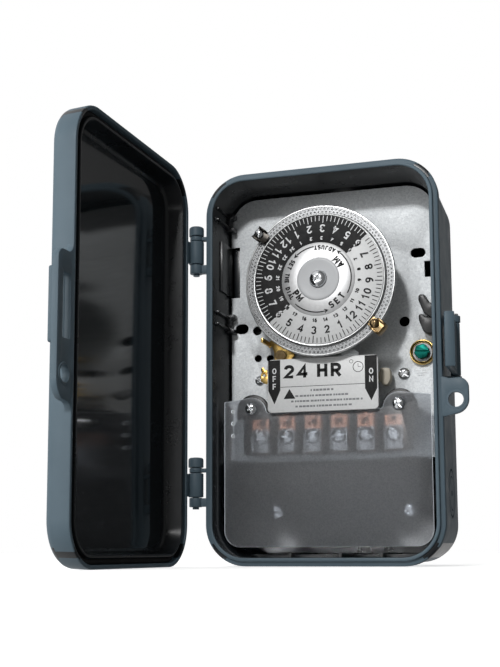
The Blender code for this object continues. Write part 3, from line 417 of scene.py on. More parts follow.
def plate(outline, depths, holes=(), edge=0.15):
    """A flat plate with holes, and rounded edges all round."""
    bm = bmesh.new()
    steps = rounded_edge(*depths, edge)
    front, back = [], []
    for k, loop in enumerate((outline, *holes)):
        if area(loop) < 0:
            loop = loop[::-1]
        sign = 1 if k == 0 else -1
        rings = [[bm.verts.new(at(x, depth, z)) for x, z in inset(loop, sign * by)] for by, depth in steps]
        fill_rings(bm, rings)
        front.append(rings[0])
        back.append(rings[-1])
    for cap in (front, back):
        edges = []
        for ring in cap:
            edges += [bm.edges.get((a, b)) for a, b in zip(ring, ring[1:] + ring[:1])]
        bmesh.ops.triangle_fill(bm, use_beauty=True, edges=edges)
    return bm


def block(x, depth, z, edge=0.2):
    return plate([(x[0], z[0]), (x[1], z[0]), (x[1], z[1]), (x[0], z[1])], depth, edge=edge)


def stack(rings, close=False):
    """A skin over outlines at given depths, closed at its ends or joined into a ring."""
    bm = bmesh.new()
    loops = [[bm.verts.new(at(x, depth, z)) for x, z in outline] for outline, depth in rings]
    return skin(bm, loops, close)


def turned(profile, cx, cz, steps=48, close=False):
    """A profile of (radius, depth) turned about a line along Y."""
    return stack([(circle(cx, cz, r, steps), depth) for r, depth in profile], close)


def band_profile(inner, outer, depths):
    """The profile of a flat ring, to be turned."""
    return [(inner, depths[0]), (outer, depths[0]), (outer, depths[1]), (inner, depths[1])]


def upright(profile, x, depth, steps=32):
    """A profile of (radius, z) turned about a vertical line."""
    bm = bmesh.new()
    centre = at(x, depth, 0)
    loops = []
    for r, z in profile:
        points = [Vector((a * MM, b * MM, z * MM)) for a, b in circle(0, 0, r, steps)]
        loops.append([bm.verts.new(centre + point) for point in points])
    return skin(bm, loops)


def swept_up(outline, z0, z1, edge=0.15):
    """An outline of (x, depth) standing between two heights, with softened ends."""
    if area(outline) < 0:
        outline = outline[::-1]
    bm = bmesh.new()
    steps = rounded_edge(z0, z1, edge)
    loops = [[bm.verts.new(at(x, depth, z)) for x, depth in inset(outline, by)] for by, z in steps]
    return skin(bm, loops)


def merged(*parts):
    """Several meshes as one."""
    whole = bmesh.new()
    for part in parts:
        mesh = bpy.data.meshes.new("part")
        part.to_mesh(mesh)
        part.free()
        whole.from_mesh(mesh)
        bpy.data.meshes.remove(mesh)
    return whole


def spun(degrees, axis):
    return Matrix.Rotation(math.radians(degrees), 4, axis)


def moved(bm, matrix):
    bmesh.ops.transform(bm, matrix=matrix, verts=bm.verts)
    return bm


def about(matrix, x, depth, z):
    """A matrix applied about a point instead of the origin."""
    point = at(x, depth, z)
    return Matrix.Translation(point) @ matrix @ Matrix.Translation(-point)


def put(name, data):
    made = bpy.data.objects.new(name, data)
    bpy.context.scene.collection.objects.link(made)
    return made


def piece(name, bm, material, body, angle=35, replaces=()):
    """Makes an object of a mesh and ties it to its body and the nodes that it stands for."""
    bmesh.ops.remove_doubles(bm, verts=bm.verts, dist=1e-7)
    bmesh.ops.recalc_face_normals(bm, faces=bm.faces)
    mesh = bpy.data.meshes.new(name)
    bm.to_mesh(mesh)
    bm.free()
    made = put(name, mesh)
    mesh.materials.append(material)
    mesh.shade_smooth()
    mesh.set_sharp_from_angle(angle=math.radians(angle))
    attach(made, body)
    if replaces:
        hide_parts(*replaces)
    return made


def carve(obj, *cutters):
    """Cuts meshes out of an object for good."""
    tools = []
    for i, bm in enumerate(cutters):
        bmesh.ops.recalc_face_normals(bm, faces=bm.faces)
        mesh = bpy.data.meshes.new(f"tool_{i}")
        bm.to_mesh(mesh)
        bm.free()
        tool = put(f"tool_{i}", mesh)
        step = obj.modifiers.new("cut", "BOOLEAN")
        step.operation = "DIFFERENCE"
        step.solver = "EXACT"
        step.object = tool
        tools.append(tool)
    depsgraph = bpy.context.evaluated_depsgraph_get()
    mesh = bpy.data.meshes.new_from_object(obj.evaluated_get(depsgraph), depsgraph=depsgraph)
    old = obj.data
    obj.modifiers.clear()
    obj.data = mesh
    mesh.name = old.name
    bpy.data.meshes.remove(old)
    for tool in tools:
        bpy.data.objects.remove(tool)
    mesh.set_sharp_from_angle(angle=math.radians(35))


def glyphs():
    """Block letters and figures as strokes in a box 4 wide and 6 high."""
    bowl = [(0.6, 5.5), (2.0, 5.5)] + oval(2.0, 4.1, 1.4, 1.4, 90, -90) + [(0.6, 2.7)]
    six = [oval(2, 1.9, 1.45, 1.4), oval(2.3, 2.2, 1.75, 3.3, 70, 180)]
    return {
        "0": [oval(2, 3, 1.45, 2.5)],
        "1": [[(0.7, 4.3), (1.6, 4.7), (2.3, 5.6), (2.3, 0)]],
        "2": [oval(2, 4.1, 1.4, 1.4, 175, -25) + [(0.6, 0.6), (3.6, 0.6)]],
        "3": [oval(1.9, 4.25, 1.3, 1.25, 165, -80), oval(1.9, 1.8, 1.5, 1.3, 80, -165)],
        "4": [[(2.8, 0), (2.8, 5.4), (0.4, 1.7), (3.9, 1.7)]],
        "5": [[(3.3, 5.5), (1.1, 5.5), (0.8, 3.0)] + oval(1.95, 1.95, 1.5, 1.45, 120, -155)],
        "6": six,
        "7": [[(0.4, 5.5), (3.4, 5.5), (1.5, 0)]],
        "8": [oval(2, 4.3, 1.25, 1.2), oval(2, 1.8, 1.5, 1.3)],
        "9": [[(4 - x, 6 - z) for x, z in stroke] for stroke in six],
        "A": [[(0.2, 0), (2, 5.6), (3.8, 0)], [(1.0, 1.8), (3.0, 1.8)]],
        "D": [[(0.6, 0.5), (0.6, 5.5), (1.7, 5.5)] + oval(1.7, 3, 1.8, 2.5, 90, -90) + [(0.6, 0.5)]],
        "E": [[(3.4, 5.5), (0.6, 5.5), (0.6, 0.5), (3.5, 0.5)], [(0.6, 3.1), (3.1, 3.1)]],
        "F": [[(3.5, 5.5), (0.7, 5.5), (0.7, 0)], [(0.7, 3.0), (3.2, 3.0)]],
        "H": [[(0.6, 0), (0.6, 6)], [(3.4, 0), (3.4, 6)], [(0.6, 3.1), (3.4, 3.1)]],
        "I": [[(2, 0), (2, 6)]],
        "J": [[(3.0, 6), (3.0, 1.8)] + oval(1.8, 1.8, 1.2, 1.3, 0, -170)],
        "L": [[(0.6, 6), (0.6, 0.5), (3.4, 0.5)]],
        "M": [[(0.0, 0), (0.0, 5.6), (2, 1.4), (4.0, 5.6), (4.0, 0)]],
        "N": [[(0.5, 0), (0.5, 5.5), (3.5, 0.5), (3.5, 6)]],
        "O": [oval(2, 3, 1.6, 2.5)],
        "P": [[(0.6, 0)] + bowl],
        "R": [[(0.6, 0)] + bowl, [(2.0, 2.7), (3.6, 0)]],
        "S": [oval(2, 4.2, 1.4, 1.3, 25, 250) + oval(2, 1.8, 1.5, 1.3, 70, -155)],
        "T": [[(0.2, 5.5), (3.8, 5.5)], [(2, 5.5), (2, 0)]],
        "U": [[(0.6, 6), (0.6, 2)] + oval(2, 2, 1.4, 1.5, 180, 360) + [(3.4, 6)]],
    }


GLYPHS = glyphs()
NARROW = {"1": 0.75, "I": 0.6, " ": 0.45, "M": 1.2}


def lettering(text, height, centre, turn, depth, weight, wide=1.0):
    """Printed block letters, turned about their centre. Height and stroke half-width (weight) are in mm."""
    unit = height / 6
    advances = [5.3 * NARROW.get(letter, 1) * unit * wide for letter in text]
    bm = bmesh.new()
    left = -sum(advances) / 2
    for letter, advance in zip(text, advances):
        for stroke in GLYPHS.get(letter, []):
            points = [(left + advance / 2 + (x - 2) * unit * wide, (z - 3) * unit) for x, z in stroke]
            ribbon(bm, points, weight, centre, turn, depth)
        left += advance
    return bm


def ribbon(bm, points, half, centre, turn, depth):
    """A flat band along a line, mitred at its corners."""
    c, s = math.cos(math.radians(turn)), math.sin(math.radians(turn))
    closed = (Vector(points[0]) - Vector(points[-1])).length < 1e-6
    sides = []
    count = len(points)
    for i, point in enumerate(points):
        before = points[i - 1] if i else (points[-2] if closed else point)
        after = points[i + 1] if i + 1 < count else (points[1] if closed else point)
        normals = []
        for a, b in ((before, point), (point, after)):
            along = Vector(b) - Vector(a)
            if along.length > 1e-9:
                normals.append(Vector((-along.y, along.x)).normalized())
        mitre = (normals[0] + normals[-1]).normalized()
        reach = half / max(0.5, mitre.dot(normals[0]))
        pair = []
        for sign in (1, -1):
            x, z = Vector(point) + mitre * reach * sign
            pair.append(bm.verts.new(at(centre[0] + c * x - s * z, depth, centre[1] + s * x + c * z)))
        sides.append(pair)
    for (a, b), (d, e) in zip(sides, sides[1:]):
        bm.faces.new((a, b, e, d))


def paint(obj, material, test):
    """Gives another material to the faces whose centre, in mm, and normal pass a test."""
    obj.data.materials.append(material)
    index = len(obj.data.materials) - 1
    for face in obj.data.polygons:
        x, y, z = face.center
        if test(x / MM, (y - RIM_Y) / MM, z / MM, face.normal):
            face.material_index = index


# ---------------------------------------------------------------- enclosure


def make_box():
    back, inner = BASE_DEPTH, TONGUE[0]
    profile = [
        (WALL_HALF_X - 3.0, back),
        (WALL_HALF_X - 1.6, back - 0.3),
        (WALL_HALF_X - 0.6, back - 1.2),
        (WALL_HALF_X - 0.1, back - 3.0),
        (WALL_HALF_X, FLANGE[1] + 1.6),
        (WALL_HALF_X + 0.2, FLANGE[1] + 0.7),
        (WALL_HALF_X + 0.7, FLANGE[1] + 0.3),
        (RIM_HALF[0] - 0.2, FLANGE[1]),
        (RIM_HALF[0], FLANGE[1] - 0.5),
        (RIM_HALF[0], FLANGE[0] + 0.9),
        (RIM_HALF[0] - 0.25, FLANGE[0] + 0.3),
        (RIM_HALF[0] - 0.8, FLANGE[0]),
        (TONGUE[1] + 0.2, FLANGE[0]),
        (TONGUE[1], FLANGE[0] - 0.2),
        (TONGUE[1], 0.6),
        (TONGUE[1] - 0.2, 0.15),
        (TONGUE[1] - 0.6, 0.0),
        (inner + 0.6, 0.0),
        (inner + 0.2, 0.15),
        (inner, 0.6),
        (inner - 0.25, back - BACK_WALL - 3.0),
        (inner - 0.9, back - BACK_WALL - 1.0),
        (inner - 2.5, back - BACK_WALL),
    ]
    body = stack([(shrink(half), depth) for half, depth in profile])
    shell = piece("box_shell", body, SHELL, "enclosure", replaces=["enclosure_base"])
    carve(shell, *wall_cuts())

    # painted shade: the inner walls of the box take the darkened copy of the shell plastic
    def is_inner_wall(x, d, z, n):
        return 1.2 < d < back - 2 and abs(x) < inner + 0.1 and abs(z) < inner + 40

    paint(shell, SHELL_PAINTED_SHADE, is_inner_wall)
    fittings = [*hinge_arms(), hasp_tab(), *latch_ears()]
    piece("box_fittings", merged(*fittings), SHELL, "enclosure")
    # painted shade: the posts, fingers and ribs inside the box take the darkened shell plastic
    inside = [*posts(), *fingers(), *floor_ribs()]
    piece("box_inner_mouldings", merged(*inside), SHELL_PAINTED_SHADE, "enclosure")


def wall_cuts():
    """Knockout grooves in the right and bottom walls, and the wall-screw holes in the back."""
    depth = BASE_DEPTH - 26.0
    through = (BASE_DEPTH - BACK_WALL - 2, BASE_DEPTH + 1)
    cuts = [turned([(4.6, through[0]), (4.6, through[1])], 0, 70)]
    cuts.append(block((-2.5, 2.5), through, (71, 79), 0.05))
    for x in (-33.2, 33.2):
        cuts.append(plate(obround(x, -81.3, 9, 5.2), through, edge=0.05))
    bottom = RIM_HALF[1] - RIM_HALF[0] + WALL_HALF_X
    centre = Matrix.Translation((0, -RIM_Y, 0))
    side = Matrix.Translation(at(WALL_HALF_X, depth, -63.5)) @ spun(90, "Z")
    under = Matrix.Translation(at(0, depth, -bottom)) @ spun(90, "X")
    for place in (side, under):
        for inner, outer, deep in ((11.2, 12.2, 0.8), (8.0, 8.6, 0.5), (0.01, 1.6, 0.6)):
            ring = turned(band_profile(inner, outer, (-deep, deep)), 0, 0, 64, close=True)
            cuts.append(moved(ring, place @ centre))
    return cuts


def hinge_middles():
    return [box_mm(pin)[0][2] + 13.4 for pin in ("hinge_pin_upper", "hinge_pin_lower")]


def knuckle(x, depth, low, high, r, edge):
    return upright([(r - by, z) for by, z in rounded_edge(low, high, edge)], x, depth)


def hinge_arms():
    x, depth = HINGE
    arms = []
    for centre in hinge_middles():
        for low, high in ((centre - 12.2, centre - 7.6), (centre + 4.9, centre + 7.2)):
            arms.append(knuckle(x, depth, low, high, 3.3, 0.35))
            arms.append(block((x, -WALL_HALF_X + 1), (depth - 0.9, depth + 2.6), (low + 0.2, high - 0.2),
                              0.3))
        gusset = [(x + 1.0, depth + 2.0), (-WALL_HALF_X + 1, depth + 2.0), (-WALL_HALF_X + 1, depth + 8.0)]
        arms.append(swept_up(soften(gusset, 0.8), centre - 11.6, centre - 8.2, 0.3))
    return arms


def hasp_tab():
    x0, x1 = RIM_HALF[0] - 2.2, box_mm("enclosure_base")[1][0]
    outline = [(x0, -29.5), (61.0, -28.9)]
    outline += arc(x1 - 7.0, -21.0, 7.0, -75, 0, 12) + arc(x1 - 4.6, -15.4, 4.6, 0, 90, 8)
    outline += [(62.0, -10.9), (60.6, -10.4), (x0, -9.6)]
    tab = plate(outline, (FLANGE[0] + 0.1, FLANGE[0] + 3.1), [circle(*PADLOCK, 3.5)], 0.5)
    collar = [(3.6, 1.95), (4.5, 1.95), (4.9, 2.3), (4.9, 2.6), (3.6, 2.6)]
    return merged(tab, turned(collar, *PADLOCK, 48, close=True))


def latch_ears():
    x, depth, _ = joint_place("latch_pivot")
    low, high = box_mm("side_latch")[0][2] - 0.3, box_mm("side_latch")[1][2] + 0.3
    ears = []
    for z0, z1 in ((low - 3.4, low), (high, high + 3.4)):
        ears.append(knuckle(x, depth, z0, z1, 2.9, 0.4))
        ears.append(block((WALL_HALF_X - 1.0, x), (depth - 2.6, depth + 2.6), (z0 + 0.1, z1 - 0.1), 0.3))
        outline = [(WALL_HALF_X - 0.5, depth + 2), (x, depth + 2), (WALL_HALF_X - 0.5, depth + 9)]
        ears.append(swept_up(soften(outline, 0.8), z0 + 0.4, z1 - 0.4, 0.3))
    return ears


def posts():
    """Posts under the plate, and two with a screw in each under the shield."""
    behind_plate = PLATE[1][1] + 0.3
    places = [(x, z, behind_plate) for x, z in ((-46, 84), (46, 84), (-46, -40), (46, -40))]
    places += [(x, z, SHIELD_POST_TIP) for x, z in SHIELD_POSTS]
    made = []
    for x, z, front in places:
        made.append(turned([(2.9, front), (3.4, front + 0.5), (4.6, POST_FOOT)], x, z, 32))
        for turn in range(4):
            fin = block((x - 0.5, x + 0.5), (front + 8, POST_FOOT), (z + 2.5, z + 6.5), 0.15)
            made.append(moved(fin, about(spun(90 * turn + 45, "Y"), x, 0, z)))
    return made


def fingers():
    """Moulded loops on the left wall that reach over the plate's edge, and the block in its notch."""
    wall, front = -TONGUE[0] - 0.4, PLATE[0][1]
    made = []
    for z0, z1 in ((75.4, 85.1), (20.9, 31.1)):
        outline = [(wall, z0), (-50.6, z0), (-50.6, z0 + 2.2), (-52.6, z0 + 2.9), (-52.6, z1 - 2.9),
                   (-50.6, z1 - 2.2)]
        outline += [(-50.6, z1), (wall, z1)]
        made.append(plate(soften(outline, 0.5), (front - 5.5, front - 0.3), edge=0.4))
        for low, high in ((z0 + 1.5, z0 + 2.6), (z1 - 2.6, z1 - 1.5)):
            made.append(block((wall, -53.0), (4.0, front - 5.0), (low, high), 0.3))
    notch = (41.3, 67.7)
    made.append(block((wall, -TONGUE[0] + 1.4), (12.0, front + 8.0), notch, 0.4))
    made.append(block((-53.2, -49.4), (front + 2.5, front + 8.0), notch, 0.4))
    return made


def floor_ribs():
    floor = -(RIM_HALF[1] - RIM_HALF[0] + TONGUE[0])
    made = []
    for x in (-17.0, 8.0, 28.0):
        made.append(block((x - 0.9, x + 0.9), (5.0, 61.0), (floor - 1.0, floor + 2.2), 0.3))
    for x0, x1, depth in ((-16.5, 7.5, 12.0), (28.5, 44.0, 12.0), (-44.0, -17.5, 30.0), (8.5, 27.5, 30.0)):
        made.append(block((x0, x1), (depth, depth + 1.6), (floor - 1.0, floor + 1.6), 0.3))
    return made


def make_hinge_pins():
    x, depth = HINGE
    for label, centre in zip(("upper", "lower"), hinge_middles()):
        top = centre + 7.5
        cap = [(1.6, centre - 13.3), (1.6, top), (3.6, top), (3.8, top + 0.25), (3.8, top + 3.7),
               (3.6, top + 4.4)]
        cap += [(3.0, top + 4.85), (2.0, top + 5.0)]
        piece(f"hinge_cap_{label}", upright(cap, x, depth), SHELL, "enclosure",
              replaces=[f"hinge_pin_{label}"])


def make_latch():
    x, depth, _ = joint_place("latch_pivot")
    low, high = box_mm("side_latch")[0][2], box_mm("side_latch")[1][2]
    half, tip = 1.2, box_mm("side_latch")[0][1]
    outline = [(x - half, tip + 0.6), (x - half + 0.5, tip), (x + 2.0, tip), (x + 3.5, tip + 1.0)]
    outline += [(x + 3.5, tip + 1.5), (x + half, tip + 2.0), (x + half, depth - 2.1)]
    outline += arc(x, depth, 2.5, -58, 238, 24) + [(x - half, depth - 2.1)]
    blade = swept_up(outline, low, high, 0.35)
    face = x + half
    bars = [block((face - 0.2, face + 0.35), (d, d + 0.7), (low + 3, high - 3), 0.15) for d in (8, 10, 12,
                                                                                                14)]
    for z in (low + 1.6, high - 2.4):
        bars.append(block((face - 0.2, face + 0.3), (5.5, 17.0), (z, z + 0.8), 0.15))
    piece("latch_blade", merged(blade, *bars), SHELL, "latch", replaces=["side_latch"])


# ---------------------------------------------------------------- door, described closed and turned open

DOOR_FRONT, DOOR_INSIDE = -10.5, -8.0
DOOR_TURN = about(spun(-DOOR_OPEN, "Z"), HINGE[0], HINGE[1], 0)
LATCH_WINDOW = ((60.7, 66.9), (-6.7, 20.1))


def make_door():
    wide, lip = RIM_HALF[0], TONGUE[0]
    profile = [
        (wide - 9.5, DOOR_FRONT + 0.5),
        (wide - 8.9, DOOR_FRONT + 0.1),
        (wide - 8.3, DOOR_FRONT),
        (wide - 4.2, DOOR_FRONT),
        (wide - 2.8, DOOR_FRONT + 0.25),
        (wide - 1.6, DOOR_FRONT + 0.9),
        (wide - 0.8, DOOR_FRONT + 1.9),
        (wide - 0.35, DOOR_FRONT + 3.2),
        (wide, DOOR_RIM - 0.8),
        (wide - 0.15, DOOR_RIM - 0.25),
        (wide - 0.5, DOOR_RIM),
        (wide - 1.45, DOOR_RIM),
        (wide - 1.78, DOOR_RIM - 0.15),
        (wide - 1.9, DOOR_RIM - 0.5),
        (wide - 1.9, -2.2),
        (lip - 0.6, -2.2),
        (lip - 0.6, DOOR_RIM - 1.0),
        (lip - 0.75, DOOR_RIM - 0.65),
        (lip - 1.0, DOOR_RIM - 0.5),
        (lip - 1.5, DOOR_RIM - 0.5),
        (lip - 1.75, DOOR_RIM - 0.65),
        (lip - 1.9, DOOR_RIM - 1.0),
        (lip - 2.8, DOOR_INSIDE + 1.9),
        (lip - 3.1, DOOR_INSIDE + 0.8),
        (lip - 3.7, DOOR_INSIDE + 0.25),
        (lip - 4.8, DOOR_INSIDE),
    ]
    shell = stack([(shrink(half), depth) for half, depth in profile])
    # painted shade: faces inside the door take the darkened shell plastic, and its flat panel the darkened
    # polished copy
    inner_half = lip - 0.5
    inside = [face for face in shell.faces if is_inside(face.calc_center_median(), inner_half)]
    panel = [face for face in inside if len(face.verts) > 4]
    for faces, index in ((inside, 1), (panel, 2)):
        for face in faces:
            face.material_index = index
    door = piece("door_shell", moved(shell, DOOR_TURN), SHELL, "door", replaces=["door"])
    for material in (SHELL_PAINTED_SHADE, PANEL_PAINTED_SHADE):
        door.data.materials.append(material)
    make_door_ear()
    make_door_knuckles()
    make_gasket()


def is_inside(centre, half):
    """Whether a point of the closed door lies within its inner wall, on the side that faces the box."""
    x, depth, z = centre.x / MM, (centre.y - RIM_Y) / MM, centre.z / MM
    return abs(x) < half and abs(z) < half + RIM_HALF[1] - RIM_HALF[0] and depth > DOOR_INSIDE - 0.1


def make_door_ear():
    (x0, x1), (z0, z1) = LATCH_WINDOW
    inner, outer = RIM_HALF[0] - 0.9, box_mm("enclosure_base")[1][0]
    outline = [(inner, -35.0)]
    outline += arc(RIM_HALF[0] + 3.4, -35.4, 3.4, 180, 110, 8)
    outline += arc(outer - 9.0, -23.5, 9.0, -62, 0, 10) + arc(outer - 4.5, 25.0, 4.5, 0, 75, 10)
    outline += arc(RIM_HALF[0] + 3.9, 33.2, 3.9, -75, -180, 10) + [(inner, 34.0)]
    window = rounded(x0, x1, z0, z1, 0.5, 4)
    ear = plate(outline, (-1.5, DOOR_RIM - 0.2), [window, circle(*PADLOCK, 3.5)], 0.3)
    top = rounded(inner, outer - 0.2, z0 - 2.5, z1 + 2.0, 1.0)
    bead = plate(top, (-3.2, -1.0), [window], 0.5)
    collar = [(3.55, DOOR_RIM - 0.3), (3.7, DOOR_RIM + 0.15), (4.4, DOOR_RIM + 0.15), (4.8, DOOR_RIM - 0.3)]
    ring = turned(collar, *PADLOCK, 48, close=True)
    piece("door_padlock_ear", moved(merged(ear, bead, ring), DOOR_TURN), SHELL, "door")


def make_door_knuckles():
    x, depth = HINGE
    parts = []
    for centre in hinge_middles():
        low, high = centre - 7.3, centre + 4.6
        parts.append(knuckle(x, depth, low, high, 3.8, 0.4))
        parts.append(block((x, -RIM_HALF[0] + 0.9), (depth - 3.6, DOOR_RIM - 0.3), (low + 0.3, high - 0.3),
                           0.4))
    piece("door_knuckles", moved(merged(*parts), DOOR_TURN), SHELL, "door")


def make_gasket():
    low, high = TONGUE[0] - 0.3, RIM_HALF[0] - 2.2
    seal = [(high, -1.9), (high, -0.9), (high - 0.5, -0.45), (high - 0.9, -0.4), (low + 0.9, -0.4)]
    seal += [(low + 0.5, -0.45), (low, -0.9), (low, -1.9)]
    bm = stack([(shrink(half), depth) for half, depth in seal], close=True)
    piece("gasket_ring", moved(bm, DOOR_TURN), RUBBER, "door", replaces=["door_gasket"])


# ---------------------------------------------------------------- fasteners


def screw(name, x, z, r, height, seat, body, material, drive, replaces, turn):
    """A pan head with a domed top, its washer face, and a recess cut for the driver."""
    top = seat - height
    dome = [(r * 0.3, top), (r * 0.55, top + height * 0.06), (r * 0.8, top + height * 0.22)]
    dome += [(r * 0.94, top + height * 0.45), (r, top + height * 0.7), (r, seat - 0.15), (r - 0.15, seat)]
    head = piece(name, turned(dome, x, z, 48), material, body, replaces=replaces)
    spin = about(spun(turn, "Y"), x, 0, z)
    cuts = []
    wide = r * 0.13
    deep = (top - 1, top + height * 0.55)
    if drive in ("cross", "combo"):
        reach = r * 0.58
        for across, up in ((reach, wide), (wide, reach)):
            arm = block((x - across, x + across), deep, (z - up, z + up), 0.02)
            cuts.append(moved(arm, spin))
        point = [(r * 0.3, top - 1), (r * 0.3, top + height * 0.2), (0.1, top + height * 0.6)]
        cuts.append(turned(point, x, z, 16))
    if drive in ("slot", "combo"):
        shallow = (top - 1, top + height * 0.4)
        groove = block((x - r - 1, x + r + 1), shallow, (z - wide * 0.9, z + wide * 0.9), 0.02)
        cuts.append(moved(groove, spin))
    carve(head, *cuts)


# ---------------------------------------------------------------- mechanism plate


def make_plate():
    (x0, _, z0), (x1, _, z1) = PLATE
    outline = [(x1, z0), (x1, 44.8), (48.3, 44.8), (48.3, 53.0), (x1, 53.0)]
    outline += arc(x1 - 14.5, z1 - 14.5, 14.5, 0, 90, 16) + arc(x0 + 14.5, z1 - 14.5, 14.5, 90, 180, 16)
    outline += [(x0, 68.1), (-49.2, 68.1), (-49.2, 40.9), (x0, 40.9), (x0, z0)]
    pinion, idler = joint_place("pinion_turn"), joint_place("idler_turn")
    holes = [
        circle(0, DIAL_Z, 5.4),
        circle(pinion[0], pinion[2], 3.2, 24),
        circle(idler[0], idler[2], 1.9, 16),
        obround(45.2, 57.6, 7.6, 4.8),
        obround(-48.1, 24.0, 7.2, 5.2),
        circle(37.6, 22.7, 2.6),
        circle(-39.7, 22.6, 2.4),
        circle(-39.3, 7.9, 1.9, 32),
        circle(-32.8, 7.6, 1.9, 32),
        circle(46.5, 6.25, 2.7, 24),
        rounded(-31.0, 29.0, -40.5, -26.0, 1.0),
    ]
    front = PLATE[0][1]
    sheet = plate(outline, (front, PLATE[1][1]), holes, 0.12)
    skin_depth = (front - 0.12, front + 0.1)
    bars = [block((45.0 - half, 45.0 + half), skin_depth, (z - 0.22, z + 0.22), 0.05)
            for half, z in ((2.6, -2.6), (1.8, -3.8), (0.9, -5.0))]
    bars.append(block((44.8, 45.2), skin_depth, (-2.4, -0.6), 0.05))
    ring = band_profile(0.9, 1.5, skin_depth)
    rings = [turned(ring, x, z, 24, close=True) for x, z in ((30.5, 12.0), (-44.5, -10.0))]
    piece("plate_sheet", merged(sheet, *bars, *rings), ZINC, "enclosure",
          replaces=["mechanism_plate"])
    for label, x, r in (("left", -38.4, 2.4), ("right", 36.9, 3.0)):
        screw(f"plate_screw_head_{label}", x, -3.9, r, 1.7, front, "enclosure", STEEL, "combo",
              [f"plate_screw_{label}"], 35)


def make_ground_mark():
    """The earth symbol stamped below the green screw."""
    x, _, z = middle("ground_screw")
    face = (PLATE[0][1] - 0.06, PLATE[0][1] + 0.1)
    bars = [block((x - half, x + half), face, (z - drop - 0.2, z - drop + 0.2), 0.03)
            for half, drop in ((3.0, 8.8), (1.9, 10.0), (0.9, 11.2))]
    bars.append(block((x - 0.2, x + 0.2), face, (z - 8.5, z - 6.9), 0.03))
    piece("ground_mark", merged(*bars), WHITE_INK, "enclosure")


def make_ground():
    """A green slotted hexagon on a dark washer, in a brass cup."""
    x, _, z = middle("ground_screw")
    seat = PLATE[0][1] - 0.2
    cup = [(2.6, seat - 0.6), (4.4, seat - 0.6), (5.0, seat - 0.9), (5.5, seat - 2.0), (5.8, seat - 2.3)]
    cup += [(6.2, seat - 2.2), (6.4, seat - 1.8), (6.35, seat - 0.4), (6.1, seat), (2.6, seat)]
    piece("ground_cup", turned(cup, x, z, 64, close=True), BRASS, "enclosure",
          replaces=["ground_cup_washer"])
    washer = [(2.6, seat - 1.3), (4.7, seat - 1.3), (4.9, seat - 1.1), (4.9, seat - 0.7), (2.6, seat - 0.7)]
    piece("ground_washer", turned(washer, x, z, 64, close=True), DARK_METAL_AND_PAINTED_SHADE, "enclosure")
    top = box_mm("ground_screw")[0][1]
    hexagon = [polar(60 * i + 12, 4.1, x, z) for i in range(6)]
    head = plate(soften(hexagon, 0.9, 4), (top, seat - 1.4), edge=0.5)
    bolt = piece("ground_bolt", head, GREEN, "enclosure", replaces=["ground_screw"])
    slot = moved(block((x - 6, x + 6), (top - 1, top + 1.3), (z - 0.5, z + 0.5), 0.02),
                 about(spun(4, "Y"), x, 0, z))
    carve(bolt, slot)


def make_clip():
    """The catch on the right wall: two leaning prongs on a spring strip."""
    (_, d0, _), (x1, d1, _) = box_mm("release_clip")
    upper = [(x1, 20.5), (x1, 29.4), (51.4, 30.0), (49.0, 34.4), (46.0, 34.4), (45.7, 31.8), (48.3, 25.2)]
    lower = [(x1, 14.4), (x1, 22.0), (49.4, 23.0), (47.8, 24.6), (45.8, 24.4), (45.8, 21.6), (47.9, 15.8),
             (50.2, 14.3)]
    prongs = [plate(soften(outline, 1.0), (d0, d1), edge=0.7) for outline in (upper, lower)]
    strip = block((x1 - 1.5, x1), (d0, d1), (14.6, 29.2), 0.3)
    piece("clip_prongs", merged(*prongs, strip), BLACK, "enclosure",
          replaces=["release_clip"])


# ---------------------------------------------------------------- dial

NIGHT = (39.5, 219.5)
PRINT_DEPTH, HUB_PRINT_DEPTH = -0.03, -0.12
HUB_ARROW = (-0.1, 0.1)
TICKS, HOURS = 96, 24
HUB_R = 18.4
RING_FRONT = box_mm("tripper_on")[0][1] + 2.7


def ring_sector(inner, outer, start, end, depths, steps):
    """A flat band between two radii and two angles about the dial's axis."""
    turn = [start + (end - start) * i / steps for i in range(steps + 1)]
    outline = [polar(a, outer) for a in turn] + [polar(a, inner) for a in reversed(turn)]
    return plate(outline, depths, edge=0.02)


